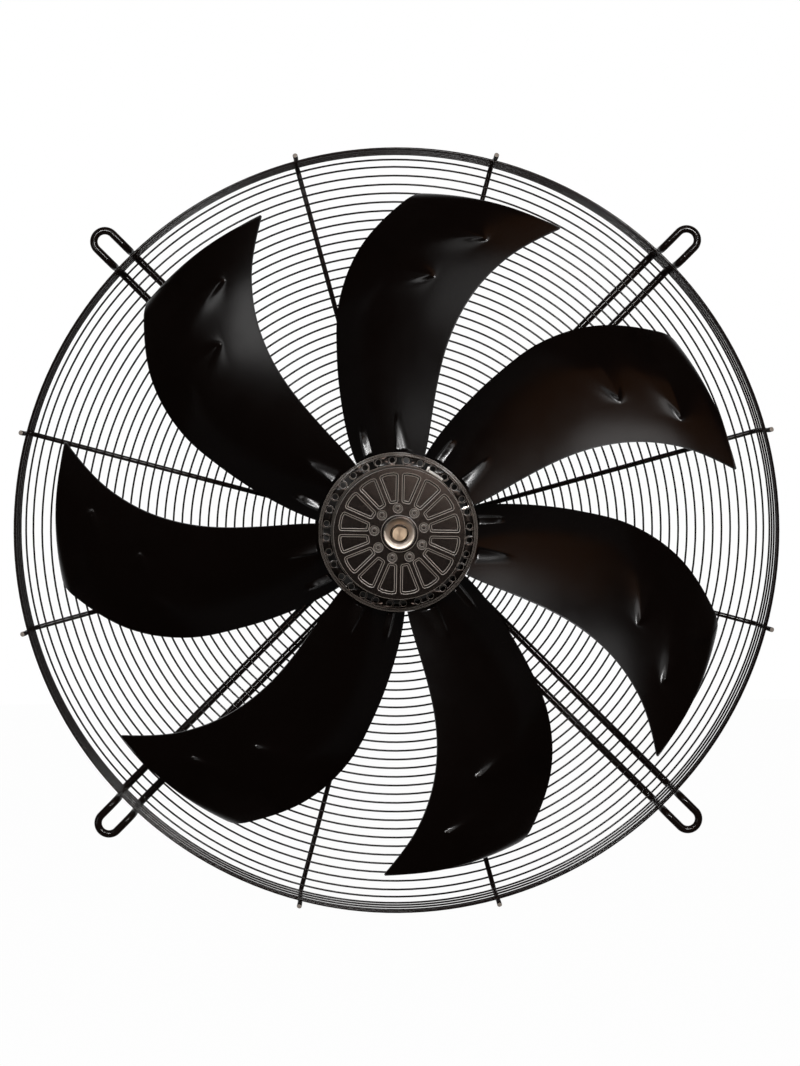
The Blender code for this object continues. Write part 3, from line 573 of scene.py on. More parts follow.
zinc = painted(
    "zinc_plate",
    (0.52, 0.51, 0.48),
    roughness=0.30,
    grain_scale=900,
    relief=0.00001,
    cloud=0.35,
    spread=0.25,
    Metallic=1.0,
)
for n in range(4):
    head = turned(
        "bolt_head",
        [
            (0, BOLT_TOP), (0.0060, BOLT_TOP), (BOLT_HEAD, 0.0052),
            (BOLT_HEAD, WASHER), (0, WASHER),
        ],
        sides=6,
        edge=0.0003,
    )
    washer = turned(
        "bolt_washer",
        [(0, WASHER), (WASHER_RADIUS, WASHER), (WASHER_RADIUS, 0), (0, 0)],
        sides=40,
        edge=0.0002,
    )
    shank = turned(
        "bolt_shank",
        [(0, 0), (SHANK_RADIUS, 0), (SHANK_RADIUS, SHANK_END), (0, SHANK_END)],
        sides=24,
    )
    bolt = joined(f"bolt_{n + 1}", [head, washer, shank])
    moved(bolt, Matrix.Translation(at(90 * n, BOLT_CIRCLE, PLATE_BACK)))
    fit(bolt, zinc, "guard_and_stator", "bright_steel", f"plate_bolt_{n + 1}")

# Motor housing: an aluminium casting behind the rotor with a foot flange and
# cooling fins, coated dark, which holds the electronics.

HOUSING_RADIUS = 0.064
HOUSING_FRONT = 0.0383
HOUSING_BACK = 0.1002
GROOVE = 0.0015
GROOVE_SLOPE = 0.0010
GROOVE_FRONT = 0.0425
GROOVE_BACK = 0.0465
FLANGE_RADIUS = 0.0888
FLANGE_FRONT = 0.0935
FINS = 12
FIN_ROOT = 0.060
FIN_TIP = 0.073
FIN_THICKNESS = 0.003
FIN_FRONT = 0.0478
FIN_BACK = 0.0940
BOLT_BOSS = 0.0080
BOLT_BOSS_FRONT = 0.0885
BOLT_BOSS_BACK = 0.0960


def spot(angle, radius, across=0.0):
    """The same place as at gives, as the (right, up) point of an outline."""
    point = at(angle, radius, 0, across)
    return point.x, point.z


def bar(angle, middle, length, radial_width, front, back, edge):
    """A bar across a ray of the front view, its edges rounded."""
    outline = [
        spot(angle, middle + u * radial_width / 2, v * length / 2)
        for u, v in ((-1, -1), (1, -1), (1, 1), (-1, 1))
    ]
    return plate("bar", outline, [], front, back, edge)


cast_coat = painted(
    "cast_coat",
    (0.040, 0.037, 0.035),
    roughness=0.48,
    grain_scale=1500,
    relief=0.00006,
    cloud=0.5,
    spread=0.15,
)
barrel = turned(
    "housing_barrel",
    [
        (0, HOUSING_FRONT),
        (HOUSING_RADIUS, HOUSING_FRONT),
        (HOUSING_RADIUS, GROOVE_FRONT),
        (HOUSING_RADIUS - GROOVE, GROOVE_FRONT + GROOVE_SLOPE),
        (HOUSING_RADIUS - GROOVE, GROOVE_BACK - GROOVE_SLOPE),
        (HOUSING_RADIUS, GROOVE_BACK),
        (HOUSING_RADIUS, FLANGE_FRONT - 0.0030),
        (HOUSING_RADIUS + 0.0025, FLANGE_FRONT - 0.0003),
        (FLANGE_RADIUS, FLANGE_FRONT),
        (FLANGE_RADIUS, HOUSING_BACK),
        (0, HOUSING_BACK),
    ],
    sides=96,
    edge=0.0008,
)
casting = [barrel]
for i in range(FINS):
    casting.append(
        bar(
            360 / FINS * (i + 0.5),
            (FIN_ROOT + FIN_TIP) / 2,
            FIN_THICKNESS,
            FIN_TIP - FIN_ROOT,
            FIN_FRONT,
            FIN_BACK,
            edge=0.0006,
        )
    )
for i in range(4):
    rim = circle(BOLT_BOSS, 32, spot(90 * i, BOLT_CIRCLE))
    casting.append(plate("bolt_boss", rim, [], BOLT_BOSS_FRONT, BOLT_BOSS_BACK, edge=0.0008))
housing = joined("housing_casting", casting)
fit(housing, cast_coat, "guard_and_stator", "cast_housing", "motor_housing")

# Terminal box: a moulded box through the plate's window, with a lid, four
# screws and a gland at the bottom for the mains cable.

BOX_HALF = 0.040
BOX_CORNER = 0.006
BOX_FRONT = 0.1005
BOX_BACK = 0.136
RIM_PROUD = 0.0012
RIM_DEPTH = 0.005
SEAM = 0.0003
LID_BACK = 0.1403
FIELD_PROUD = 0.0008
FIELD_REACH = 0.036
FIELD_HALF = 0.024
LID_SCREW_PLACE = 0.032
LID_SCREW = 0.003
RECESS_REACH = 0.0016
RECESS_HALF = 0.0004
GLAND_DEPTH = 0.121
GLAND_BORE = 0.0052
NUT_RADIUS = 0.0136
NUT_HEIGHT = 0.006
DOME_RADIUS = 0.0098
DOME_HEIGHT = 0.0198
SEAL_BORE = 0.0050
SEAL_RADIUS = 0.0062
SEAL_HEIGHT = 0.0190

moulded = painted(
    "moulded_black",
    (0.022, 0.021, 0.021),
    roughness=0.52,
    grain_scale=2600,
    relief=0.00005,
    cloud=0.25,
    spread=0.1,
)


def cross(centre, reach, half):
    """The outline of a cross."""
    points = [
        (reach, -half), (reach, half), (half, half), (half, reach),
        (-half, reach), (-half, half), (-reach, half), (-reach, -half),
        (-half, -half), (-half, -reach), (half, -reach), (half, -half),
    ]
    return [(centre[0] + x, centre[1] + y) for x, y in points]


shell = square(BOX_HALF - RIM_PROUD, 0.0055, 6)
around_box = square(BOX_HALF, BOX_CORNER, 6)
box = joined(
    "box_shell",
    [
        plate("box_body", shell, [], BOX_FRONT, BOX_BACK - 0.002, edge=0.0008),
        plate("box_rim", around_box, [], BOX_BACK - RIM_DEPTH, BOX_BACK, edge=0.0006),
    ],
)
fit(box, moulded, "guard_and_stator", "box_plastic", "terminal_box")
field = soft_corners(cross((0, 0), FIELD_REACH, FIELD_HALF), 0.003)
lid = joined(
    "box_lid",
    [
        plate(
            "lid_plate", around_box, [], BOX_BACK + SEAM, LID_BACK - FIELD_PROUD, edge=0.0006
        ),
        plate("lid_field", field, [], LID_BACK - 0.0012, LID_BACK, edge=0.0004),
    ],
)
fit(lid, moulded, "guard_and_stator", "box_plastic", "terminal_lid")

for n, (right, up) in enumerate(((-1, 1), (1, 1), (1, -1), (-1, -1))):
    centre = (right * LID_SCREW_PLACE, up * LID_SCREW_PLACE)
    head = plate(
        "screw_top",
        circle(LID_SCREW, 32, centre),
        [cross(centre, RECESS_REACH, RECESS_HALF)],
        LID_BACK + 0.0006,
        LID_BACK + 0.0024,
        edge=0.0003,
    )
    seat = plate(
        "screw_seat",
        circle(0.0029, 32, centre),
        [],
        LID_BACK - 0.001,
        LID_BACK + 0.0012,
        edge=0.0002,
    )
    screw = joined(f"box_screw_{n + 1}", [head, seat])
    fit(screw, zinc, "guard_and_stator", "bright_steel", f"lid_screw_{n + 1}")

gland_body = joined(
    "gland_body",
    [
        turned(
            "gland_nut",
            [
                (GLAND_BORE, 0), (0.0132, 0), (NUT_RADIUS, 0.0008), (NUT_RADIUS, 0.0054),
                (0.0130, NUT_HEIGHT), (GLAND_BORE, NUT_HEIGHT),
            ],
            sides=6,
            edge=0.0003,
        ),
        turned(
            "gland_dome",
            [
                (GLAND_BORE, NUT_HEIGHT), (DOME_RADIUS, NUT_HEIGHT), (DOME_RADIUS, 0.0150),
                (0.0086, 0.0185), (0.0066, DOME_HEIGHT), (0.0058, DOME_HEIGHT),
                (GLAND_BORE, 0.0170),
            ],
            sides=48,
            edge=0.0003,
        ),
    ],
)
down = Matrix.Rotation(math.radians(-90), 4, "X")
under_box = Matrix.Translation((0, GLAND_DEPTH, -BOX_HALF - SEAM))
moved(gland_body, down, under_box)
fit(gland_body, moulded, "guard_and_stator", "box_plastic", "cable_gland")

rubber = painted(
    "seal_rubber",
    (0.030, 0.030, 0.030),
    roughness=0.72,
    grain_scale=1200,
    relief=0.00008,
    cloud=0.3,
    spread=0.1,
)
seal = turned(
    "gland_seal",
    [
        (SEAL_BORE, 0.012), (SEAL_RADIUS, 0.012),
        (SEAL_RADIUS, SEAL_HEIGHT), (SEAL_BORE, SEAL_HEIGHT),
    ],
    sides=40,
    edge=0.0003,
)
moved(seal, down, under_box)
fit(seal, rubber, "guard_and_stator", "box_plastic")

# Stator: the flange that closes the motor, and inside the rotor the bearing
# tube, the two bearings and the wound core, which stay as the CAD made them.

STATOR_RADIUS = 0.0720
STATOR_FRONT = 0.030
STATOR_BACK = 0.038
DISH = 0.0312

stator_disc = turned(
    "flange_of_stator",
    [
        (0, STATOR_FRONT), (0.0600, STATOR_FRONT), (0.0620, DISH), (0.0690, DISH),
        (0.0710, STATOR_FRONT), (STATOR_RADIUS, 0.031), (STATOR_RADIUS, 0.0375),
        (0.0715, STATOR_BACK), (0, STATOR_BACK),
    ],
    sides=96,
    edge=0.0004,
)
fit(stator_disc, cast_coat, "guard_and_stator", "cast_housing", "stator_flange")

copper = painted(
    "wound_copper",
    (0.42, 0.17, 0.07),
    roughness=0.36,
    grain_scale=260,
    relief=0.0009,
    cloud=0.8,
    spread=0.3,
    Metallic=0.8,
)
ground_steel = painted(
    "ground_steel",
    (0.56, 0.55, 0.53),
    roughness=0.22,
    grain_scale=1800,
    relief=0.00001,
    cloud=0.3,
    spread=0.2,
    Metallic=1.0,
)
ferrite = painted(
    "ferrite",
    (0.060, 0.058, 0.056),
    roughness=0.62,
    grain_scale=1300,
    relief=0.0001,
    cloud=0.6,
    spread=0.2,
)
for node, look in (
    ("stator_core", copper),
    ("stator_tube", cast_coat),
    ("bearing_front", ground_steel),
    ("bearing_rear", ground_steel),
    ("rotor_magnets", ferrite),
):
    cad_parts[node].data.materials.clear()
    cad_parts[node].data.materials.append(look)

# Rotor bell: the deep-drawn drum that turns round the stator, painted satin,
# with a shallow groove near each end.

ROTOR_RADIUS = 0.075
BELL_INNER = 0.069
BELL_FRONT = -0.0677
BELL_BACK = 0.0260
BELL_GROOVE = ROTOR_RADIUS - 0.0008

satin = painted(
    "rotor_satin",
    (0.0048, 0.0034, 0.0027),
    roughness=0.13,
    grain_scale=1900,
    relief=0.000007,
    cloud=0.45,
    spread=0.05,
)
bell = turned(
    "bell_of_rotor",
    [
        (BELL_INNER, BELL_FRONT), (ROTOR_RADIUS, BELL_FRONT), (ROTOR_RADIUS, -0.0600),
        (BELL_GROOVE, -0.0592), (BELL_GROOVE, -0.0568), (ROTOR_RADIUS, -0.0560),
        (ROTOR_RADIUS, 0.0180), (BELL_GROOVE, 0.0188), (BELL_GROOVE, 0.0212),
        (ROTOR_RADIUS, 0.0220), (ROTOR_RADIUS, BELL_BACK), (BELL_INNER, BELL_BACK),
    ],
    sides=128,
    edge=0.0004,
)
fit(bell, satin, "impeller", "rotor_paint", "rotor_bell")

# Shaft: turned steel with a chamfer, its end faced on the lathe, clamped under
# the cover by a flange.

SHAFT_RADIUS = 0.009
SHAFT_FRONT = -0.0880
SHAFT_BACK = 0.0230
CLAMP_RADIUS = 0.036
CLAMP_BACK = -0.0597


def lathe_metal(name, colour, roughness, relief, pitch):
    """Metal with the circular marks of a lathe, which follow the distance from the axis."""
    made = bpy.data.materials.new(name)
    made.use_nodes = True
    tree = made.node_tree
    shader = tree.nodes["Principled BSDF"]
    place = add_node(tree, "ShaderNodeTexCoord", {})
    flat = add_node(
        tree,
        "ShaderNodeVectorMath",
        {0: place.outputs["Object"], 1: (1.0, 0.0, 1.0)},
        operation="MULTIPLY",
    )
    reach = add_node(tree, "ShaderNodeVectorMath", {0: flat.outputs[0]}, operation="LENGTH")
    marks = add_node(
        tree,
        "ShaderNodeTexNoise",
        {"W": reach.outputs["Value"], "Scale": 1 / pitch, "Detail": 3.0},
        noise_dimensions="1D",
    )
    stain = add_node(
        tree,
        "ShaderNodeTexNoise",
        {"Vector": place.outputs["Object"], "Scale": 160.0, "Detail": 4.0},
    )
    rough = add_node(
        tree,
        "ShaderNodeMapRange",
        {"Value": stain.outputs["Fac"], "To Min": roughness - 0.08, "To Max": roughness + 0.10},
    )
    darker = [part * 0.78 for part in colour]
    lighter = [min(1.0, part * 1.12) for part in colour]
    tint = add_node(
        tree,
        "ShaderNodeMix",
        {"Factor": marks.outputs["Fac"], 6: (*darker, 1), 7: (*lighter, 1)},
        data_type="RGBA",
    )
    bump = add_node(
        tree,
        "ShaderNodeBump",
        {"Height": marks.outputs["Fac"], "Distance": relief, "Strength": 1.0},
    )
    around = add_node(tree, "ShaderNodeTangent", {}, direction_type="RADIAL", axis="Y")
    shader.inputs["Metallic"].default_value = 1.0
    shader.inputs["Anisotropic"].default_value = 0.6
    tree.links.new(around.outputs["Tangent"], shader.inputs["Tangent"])
    tree.links.new(tint.outputs[2], shader.inputs["Base Color"])
    tree.links.new(rough.outputs[0], shader.inputs["Roughness"])
    tree.links.new(bump.outputs["Normal"], shader.inputs["Normal"])
    return made


shaft_metal = lathe_metal(
    "turned_shaft", (0.28, 0.21, 0.145), roughness=0.36, relief=0.00002, pitch=0.00022
)
shaft = turned(
    "shaft_turned",
    [
        (0, SHAFT_FRONT), (0.0081, SHAFT_FRONT), (SHAFT_RADIUS, -0.0871),
        (SHAFT_RADIUS, BELL_FRONT), (CLAMP_RADIUS, BELL_FRONT), (CLAMP_RADIUS, CLAMP_BACK),
        (SHAFT_RADIUS, CLAMP_BACK), (SHAFT_RADIUS, 0.0222), (0.0082, SHAFT_BACK),
        (0, SHAFT_BACK),
    ],
    sides=64,
)
fit(shaft, shaft_metal, "impeller", "shaft_steel", "shaft")

# Rotor cover: a casting with ribs between sixteen pockets, a boss in the
# middle, and nine counterbores for the screws that clamp the shaft.

COVER_RADIUS = 0.0756
COVER_EDGE = 0.0748
COVER_FRONT = -0.080
COVER_BACK = -0.068
COVER_BORE = 0.0096
BOSS_RADIUS = 0.0216
BOSS_BORE = 0.0177
COLLAR_SEAT = -0.0762
POCKETS = 16
POCKET_INNER = 0.0350
POCKET_OUTER = 0.0702
POCKET_CORNER = 0.0034
POCKET_CORNER_STEPS = 5
RIB = 0.0034
RIB_TURN = -1.3

# A hollow's wall goes down in steps, each with how far it goes in and how far down.
POCKET_STEPS = (
    (0.00025, 0.0), (0.00042, 0.00008), (0.00030, 0.00020), (0.00018, 0.00028),
    (0.00125, 0.00300), (0.00018, 0.00028), (0.00030, 0.00020), (0.00042, 0.00008),
    (0.00025, 0.0),
)
SCREWS = 9
SCREW_CIRCLE = 0.0288
SCREW_TURN = 13.2
BORE_MOUTH = 0.0059
BORE_STEPS = (
    (0.00018, 0.0), (0.00032, 0.00006), (0.00022, 0.00016), (0.00014, 0.00024),
    (0.00006, 0.00480), (0.00030, 0.00020),
)
SCREW_HEAD = 0.0040
SCREW_FRONT = -0.0790
SCREW_RIM_BACK = -0.0765
SCREW_BACK = -0.0744
SOCKET = 0.0023
SOCKET_FLOOR = -0.0767
SOCKET_TURN = 17


def pocket(angle):
    """The outline of the recess between two ribs, its corners rounded."""
    corners = []
    for radius, sides in ((POCKET_INNER, (-1, 1)), (POCKET_OUTER, (1, 0.5, 0, -0.5, -1))):
        spread = 180 / POCKETS - math.degrees(math.asin(RIB / 2 / radius))
        corners += [spot(angle + side * spread, radius) for side in sides]
    first, second, third, *middle, last = corners
    soft = soft_corners([first, second, third, last], POCKET_CORNER, POCKET_CORNER_STEPS)
    three_corners = 3 * (POCKET_CORNER_STEPS + 1)
    return soft[:three_corners] + middle + soft[three_corners:]


def recess(outline, depth, steps):
    """A hollow under an outline, by insets: each step goes in and down by so much."""
    deselect()
    bpy.ops.mesh.primitive_circle_add(vertices=len(outline), fill_type="NGON")
    piece = bpy.context.object
    for vert, (x, z) in zip(piece.data.vertices, outline):
        vert.co = (x, depth, z)
    piece.data.update()
    looks_back = piece.data.polygons[0].normal.y > 0
    bpy.ops.object.mode_set(mode="EDIT")
    bpy.ops.mesh.select_mode(type="FACE")
    bpy.ops.mesh.select_all(action="SELECT")
    if looks_back:
        bpy.ops.mesh.flip_normals()
    for inwards, down in steps:
        bpy.ops.mesh.inset(thickness=inwards, depth=-down, use_even_offset=True)
    bpy.ops.mesh.select_mode(type="VERT")
    bpy.ops.object.mode_set(mode="OBJECT")
    return piece


pockets = [pocket(RIB_TURN + 360 / POCKETS * (i + 0.5)) for i in range(POCKETS)]
screw_places = [spot(SCREW_TURN + 360 / SCREWS * i, SCREW_CIRCLE) for i in range(SCREWS)]
bores = [circle(BORE_MOUTH, 32, place_at) for place_at in screw_places]
face_edges = [circle(COVER_EDGE, 128), *pockets, *bores, circle(BOSS_RADIUS, 128)]
cover_parts = [cut_out("cover_face", face_edges, COVER_FRONT)]
cover_parts += [recess(outline, COVER_FRONT, POCKET_STEPS) for outline in pockets]
cover_parts += [recess(outline, COVER_FRONT, BORE_STEPS) for outline in bores]
cover_parts.append(
    turned(
        "cover_rim",
        [
            (COVER_EDGE, COVER_FRONT), (0.0750, COVER_FRONT), (0.0753, -0.07993),
            (0.0755, -0.07975), (COVER_RADIUS, -0.0794), (COVER_RADIUS, -0.0690),
            (0.0752, COVER_BACK), (COVER_BORE, COVER_BACK), (COVER_BORE, -0.0758),
            (BOSS_BORE, COLLAR_SEAT), (BOSS_BORE, -0.0814), (0.0178, -0.0817),
            (0.0181, -0.0818), (0.0208, -0.0816), (0.0212, -0.0815), (0.0215, -0.0811),
            (BOSS_RADIUS, -0.0804), (BOSS_RADIUS, COVER_FRONT),
        ],
        sides=128,
        closed=False,
    )
)
cover = joined("cover_casting", cover_parts)
tidy_mesh(cover)
smooth(cover, 40)
with_modifier(cover, "WEIGHTED_NORMAL", weight=60, keep_sharp=True)
fit(cover, satin, "impeller", "rotor_paint", "rotor_cover")
# The rims and the fillets at the foot of each pocket and bore get a painted highlight; on the
# convex rims it also stands for worn paint.
paint_edge_highlight(cover, flattest=0.990, steepest=0.80)

oiled_steel = painted(
    "oiled_steel",
    (0.045, 0.041, 0.038),
    roughness=0.22,
    grain_scale=1400,
    relief=0.00002,
    cloud=0.6,
    spread=0.25,
    Metallic=1.0,
)
for n, middle in enumerate(screw_places):
    head = plate(
        "socket_rim",
        circle(SCREW_HEAD, 40, middle),
        [circle(SOCKET, 6, middle, SOCKET_TURN * n)],
        SCREW_FRONT,
        SCREW_RIM_BACK,
        edge=0.0005,
    )
    base = plate(
        "socket_floor", circle(0.0039, 40, middle), [], SOCKET_FLOOR, SCREW_BACK, edge=0.0002
    )
    screw = joined(f"socket_screw_{n + 1}", [head, base])
    fit(screw, oiled_steel, "impeller", "dark_screw", f"cover_screw_{n + 1}")
    # The screws' rounded rims get a painted highlight.
    paint_edge_highlight(screw, flattest=0.98, steepest=0.30)

# Collar: a bright turned ring in the bore of the boss, round the shaft, with a
# dished front.

COLLAR_BORE = 0.0104
COLLAR_RADIUS = 0.0174
COLLAR_BACK = -0.0763

collar_metal = lathe_metal(
    "turned_collar", (0.78, 0.67, 0.57), roughness=0.34, relief=0.00012, pitch=0.0013
)
collar = turned(
    "collar_ring",
    [
        (COLLAR_BORE, COLLAR_BACK), (COLLAR_BORE, -0.0770), (0.0106, -0.0773),
        (0.0109, -0.0774), (0.0166, -0.0797), (0.0171, -0.0798),
        (COLLAR_RADIUS, -0.0795), (COLLAR_RADIUS, COLLAR_BACK),
    ],
    sides=80,
)
fit(collar, collar_metal, "impeller", "bright_steel", "shaft_collar")

# Hub ring: the flanged casting outside the rotor that the blades are fixed
# to. Its channel has holes for balancing screws, with a slot after each pair.

HUB_RADIUS = 0.0925
HUB_BORE = 0.0757
HUB_BACK = 0.0260
HUB_FLOOR_RADIUS = 0.0895
HUB_FLOOR_FRONT = -0.009
HUB_FLOOR_BACK = -0.005
HUB_HOLES = 32
HUB_HOLE_CIRCLE = 0.0836
HUB_HOLE = 0.0033
HUB_SLOTS = 16
SLOT_CLEARANCE = 0.0054
SLOT_INNER_END = ((-0.0066, 0.0042), (-0.0046, 0.0053))
SLOT_CURVE_DEGREES = (-45, -30, -15, 0, 15, 30, 38)


def slot_between(angle):
    """The outline of a slot between two holes, its sides hollow to keep clear of them."""
    away = HUB_HOLE_CIRCLE * math.sin(math.pi / HUB_HOLES)
    side = list(SLOT_INNER_END)
    for degrees in SLOT_CURVE_DEGREES:
        turn = math.radians(degrees)
        side.append((SLOT_CLEARANCE * math.sin(turn), away - SLOT_CLEARANCE * math.cos(turn)))
    around = side + [(u, -v) for u, v in reversed(side)]
    return [spot(angle, HUB_HOLE_CIRCLE + u, v) for u, v in reversed(around)]


hub_openings = [slot_between(RIB_TURN + 360 / HUB_SLOTS * i) for i in range(HUB_SLOTS)]
for i in range(HUB_HOLES):
    centre = spot(RIB_TURN + 360 / HUB_HOLES * (i + 0.5), HUB_HOLE_CIRCLE)
    hub_openings.append(circle(HUB_HOLE, 24, centre))
channel = plate(
    "hub_channel",
    circle(HUB_FLOOR_RADIUS, 128),
    hub_openings + [circle(HUB_BORE, 128)],
    HUB_FLOOR_FRONT,
    HUB_FLOOR_BACK,
    edge=0.0005,
)
hub_wall = turned(
    "hub_wall",
    [
        (0.0893, HUB_BACK), (HUB_RADIUS, HUB_BACK), (HUB_RADIUS, -0.0192),
        (0.0924, -0.0198), (0.0921, -0.0200), (0.0913, -0.0200), (0.0910, -0.0198),
        (0.0908, -0.0172), (0.0901, -0.0172), (0.0899, -0.0185), (0.0896, -0.0187),
        (0.0889, -0.0187), (0.0886, -0.0185), (0.0884, HUB_FLOOR_FRONT),
        (0.0893, HUB_FLOOR_BACK),
    ],
    sides=160,
)
inner_lip = turned(
    "hub_inner_lip",
    [
        (HUB_BORE, HUB_FLOOR_BACK), (HUB_BORE, HUB_FLOOR_FRONT), (0.0765, -0.0094),
        (0.0766, -0.0130), (0.0769, -0.0133), (0.0777, -0.0133), (0.0780, -0.0130),
        (0.0783, HUB_FLOOR_BACK),
    ],
    sides=128,
)
hub = joined("hub_casting", [hub_wall, channel, inner_lip])
fit(hub, satin, "impeller", "rotor_paint", "hub_ring")
# The hub's rounded lips and hole edges that face forwards get a painted highlight; on the convex
# lips it also stands for worn paint.
paint_edge_highlight(hub, flattest=0.996, steepest=0.50)

# Balancing clips: two small pieces of spring steel pushed into the channel of
# the hub, one plain and one with a row of ribs.

CLIP_SEAT = -0.0088

# Each bar of a clip has its angle, the radius of its middle, its length across
# the ray, its width along it, its front, its back and how round its edges are.
PLAIN_CLIP = [
    (19.2, 0.0820, 0.0036, 0.0068, -0.0128, CLIP_SEAT, 0.0006),
    (19.2, 0.0868, 0.0044, 0.0022, -0.0150, CLIP_SEAT, 0.0005),
]
RIBBED_CLIP = [
    (64.2, 0.0808, 0.0034, 0.0066, -0.0140, CLIP_SEAT, 0.0006),
    (56.0, 0.0789, 0.0190, 0.0030, -0.0116, CLIP_SEAT, 0.0005),
]
for i in range(9):
    RIBBED_CLIP.append((49.5 + 1.5 * i, 0.0790, 0.0011, 0.0046, -0.0128, -0.0090, 0.0003))

spring_steel = painted(
    "spring_steel",
    (0.72, 0.70, 0.66),
    roughness=0.24,
    grain_scale=1200,
    relief=0.00001,
    cloud=0.3,
    spread=0.2,
    Metallic=1.0,
)
clip_a = joined("balance_clip_a", [bar(*sizes) for sizes in PLAIN_CLIP])
fit(clip_a, spring_steel, "impeller", "bright_steel")

grey_steel = painted(
    "grey_steel",
    (0.30, 0.29, 0.27),
    roughness=0.42,
    grain_scale=1200,
    relief=0.00001,
    cloud=0.4,
    spread=0.2,
    Metallic=1.0,
)
clip_b = joined("balance_clip_b", [bar(*sizes) for sizes in RIBBED_CLIP])
fit(clip_b, grey_steel, "impeller", "bright_steel")

# Blades: seven sickles pressed from steel sheet, with two creases on the outer
# half and two half-cone darts at the root, painted gloss black after assembly.
# The edges' degrees are given at even shares of the span, from root to tip.

BLADES = 7
ROOT_RADIUS = 0.0923
TIP_RADIUS = 0.3985
SHEET = 0.0025
SHEET_EDGE = 0.0009
BLADE_FRONT = -0.028
ROOT_DRAFT = 0.053
TIP_DRAFT = 0.093
CAMBER_SHARE = 0.35
REST_TURN = -0.3
LEADING_DEGREES = (19.6, 23.2, 24.1, 22.0, 17.3, 10.4)
TRAILING_DEGREES = (69.5, 62.9, 57.6, 52.8, 45.7, 35.5)
ROOT_DEGREES = TRAILING_DEGREES[0] - LEADING_DEGREES[0]
CORNER_ROUNDING = 0.009
POINT_ROUNDING = 0.0025

# A crease has its line at a radius that grows with the chord, the chord shares
# where it starts, begins to fade and ends, and its length from edge to edge.
CREASES = (
    (0.2926, 0.0200, 0.31, 0.60, 0.90, 0.165),
    (0.3479, 0.0257, 0.20, 0.50, 0.85, 0.174),
)
CREASE_HEIGHT = 0.0042
CREASE_NOSE = 0.0110
CREASE_SPREAD = 2.4
CREASE_CREST = 0.0010
HUB_SIDE = 0.060
HUB_HOLLOW = 1.3
TIP_SIDE = 0.026
TIP_HOLLOW = 1.8

# A dart has its ridge at a chord share, its height at the root end, the widths
# of its leading flank at both ends and of its trailing one, its far end, how
# hollow its flanks are, and the share of its length that keeps its height.
DARTS = (
    (0.39, 0.0072, 0.0190, 0.0110, 0.0028, 0.1370, 2.0, 0.0),
    (0.83, 0.0062, 0.0082, 0.0070, 0.0026, 0.1330, 1.2, 0.35),
)
DART_FRONT = 0.0952
DART_STEP = 0.0012

# Lines of the pressed sheet's net, each with its radius and how far that grows
# along the chord, so that the net follows the creases.
COLUMNS = 100
NET = (
    (0, ROOT_RADIUS, 0.0), (8, 0.0968, 0.0), (34, 0.1300, 0.0), (80, 0.2806, 0.0200),
    (92, 0.2926, 0.0200), (104, 0.3046, 0.0200), (116, 0.3379, 0.0257),
    (128, 0.3479, 0.0257), (140, 0.3599, 0.0257), (148, 0.3885, 0.0), (160, TIP_RADIUS, 0.0),
)
ROWS = NET[-1][0]


def smooth_between(values, share):
    """The value at a share of the span, on a smooth curve through the given ones."""
    last = len(values) - 1
    i = min(int(share * last), last - 1)
    t = share * last - i
    slopes = []
    for k in (i, i + 1):
        low, high = max(k - 1, 0), min(k + 1, last)
        slopes.append((values[high] - values[low]) / (high - low))
    rise = values[i] * (2 * t**3 - 3 * t**2 + 1) + values[i + 1] * (3 * t**2 - 2 * t**3)
    return rise + slopes[0] * (t**3 - 2 * t**2 + t) + slopes[1] * (t**3 - t**2)


def ease(value):
    """A smooth step from 0 to 1."""
    value = min(max(value, 0.0), 1.0)
    return value * value * (3 - 2 * value)


def crease_lift(radius, chord, crease):
    """How far one crease lifts the sheet: a ridge with hollow flanks and a pointed nose."""
    start, lean, first, fading, end, length = crease
    beyond = radius - start - lean * chord
    run = (chord - first) * length
    if run <= 0:
        return 0.0
    width, hollow = (TIP_SIDE, TIP_HOLLOW) if beyond > 0 else (HUB_SIDE, HUB_HOLLOW)
    aside = math.hypot(beyond, CREASE_CREST) - CREASE_CREST
    across = max(0.0, 1 - aside / width) ** hollow
    rise = ease(run / (CREASE_NOSE + CREASE_SPREAD * abs(beyond)))
    along = rise * (1 - ease((chord - fading) / (end - fading)))
    return CREASE_HEIGHT * across * along


def dart_lift(radius, chord, dart):
    """How far one dart lifts the sheet: a ridge that falls to the sheet on both sides."""
    middle, height, near_width, far_width, behind, far_end, hollow, kept = dart
    gone = (radius - DART_FRONT) / (far_end - DART_FRONT)
    if gone <= 0 or gone >= 1:
        return 0.0
    arc = math.radians(ROOT_DEGREES) * radius * (chord - middle)
    width = behind if arc > 0 else near_width + (far_width - near_width) * gone
    across = max(0.0, 1 - abs(arc) / width) ** hollow
    rise = min(1.0, (radius - DART_FRONT) / DART_STEP)
    left = 1 - ease((gone - kept) / (1 - kept)) if kept else 1 - gone
    return height * rise * left * across


def net_radius(row, chord):
    """The radius of a point of the net, from the two lines that it lies between."""
    for (low, inner, inner_lean), (high, outer, outer_lean) in zip(NET, NET[1:]):
        if row <= high:
            share = (row - low) / (high - low)
            near = inner + inner_lean * chord
            return near + (outer + outer_lean * chord - near) * share
    return TIP_RADIUS


def corner_cut(radius, rounding):
    """How far a rounded corner draws the edge in, near the tip circle."""
    below = min(rounding, TIP_RADIUS - radius)
    return rounding - math.sqrt(rounding**2 - (rounding - below) ** 2)


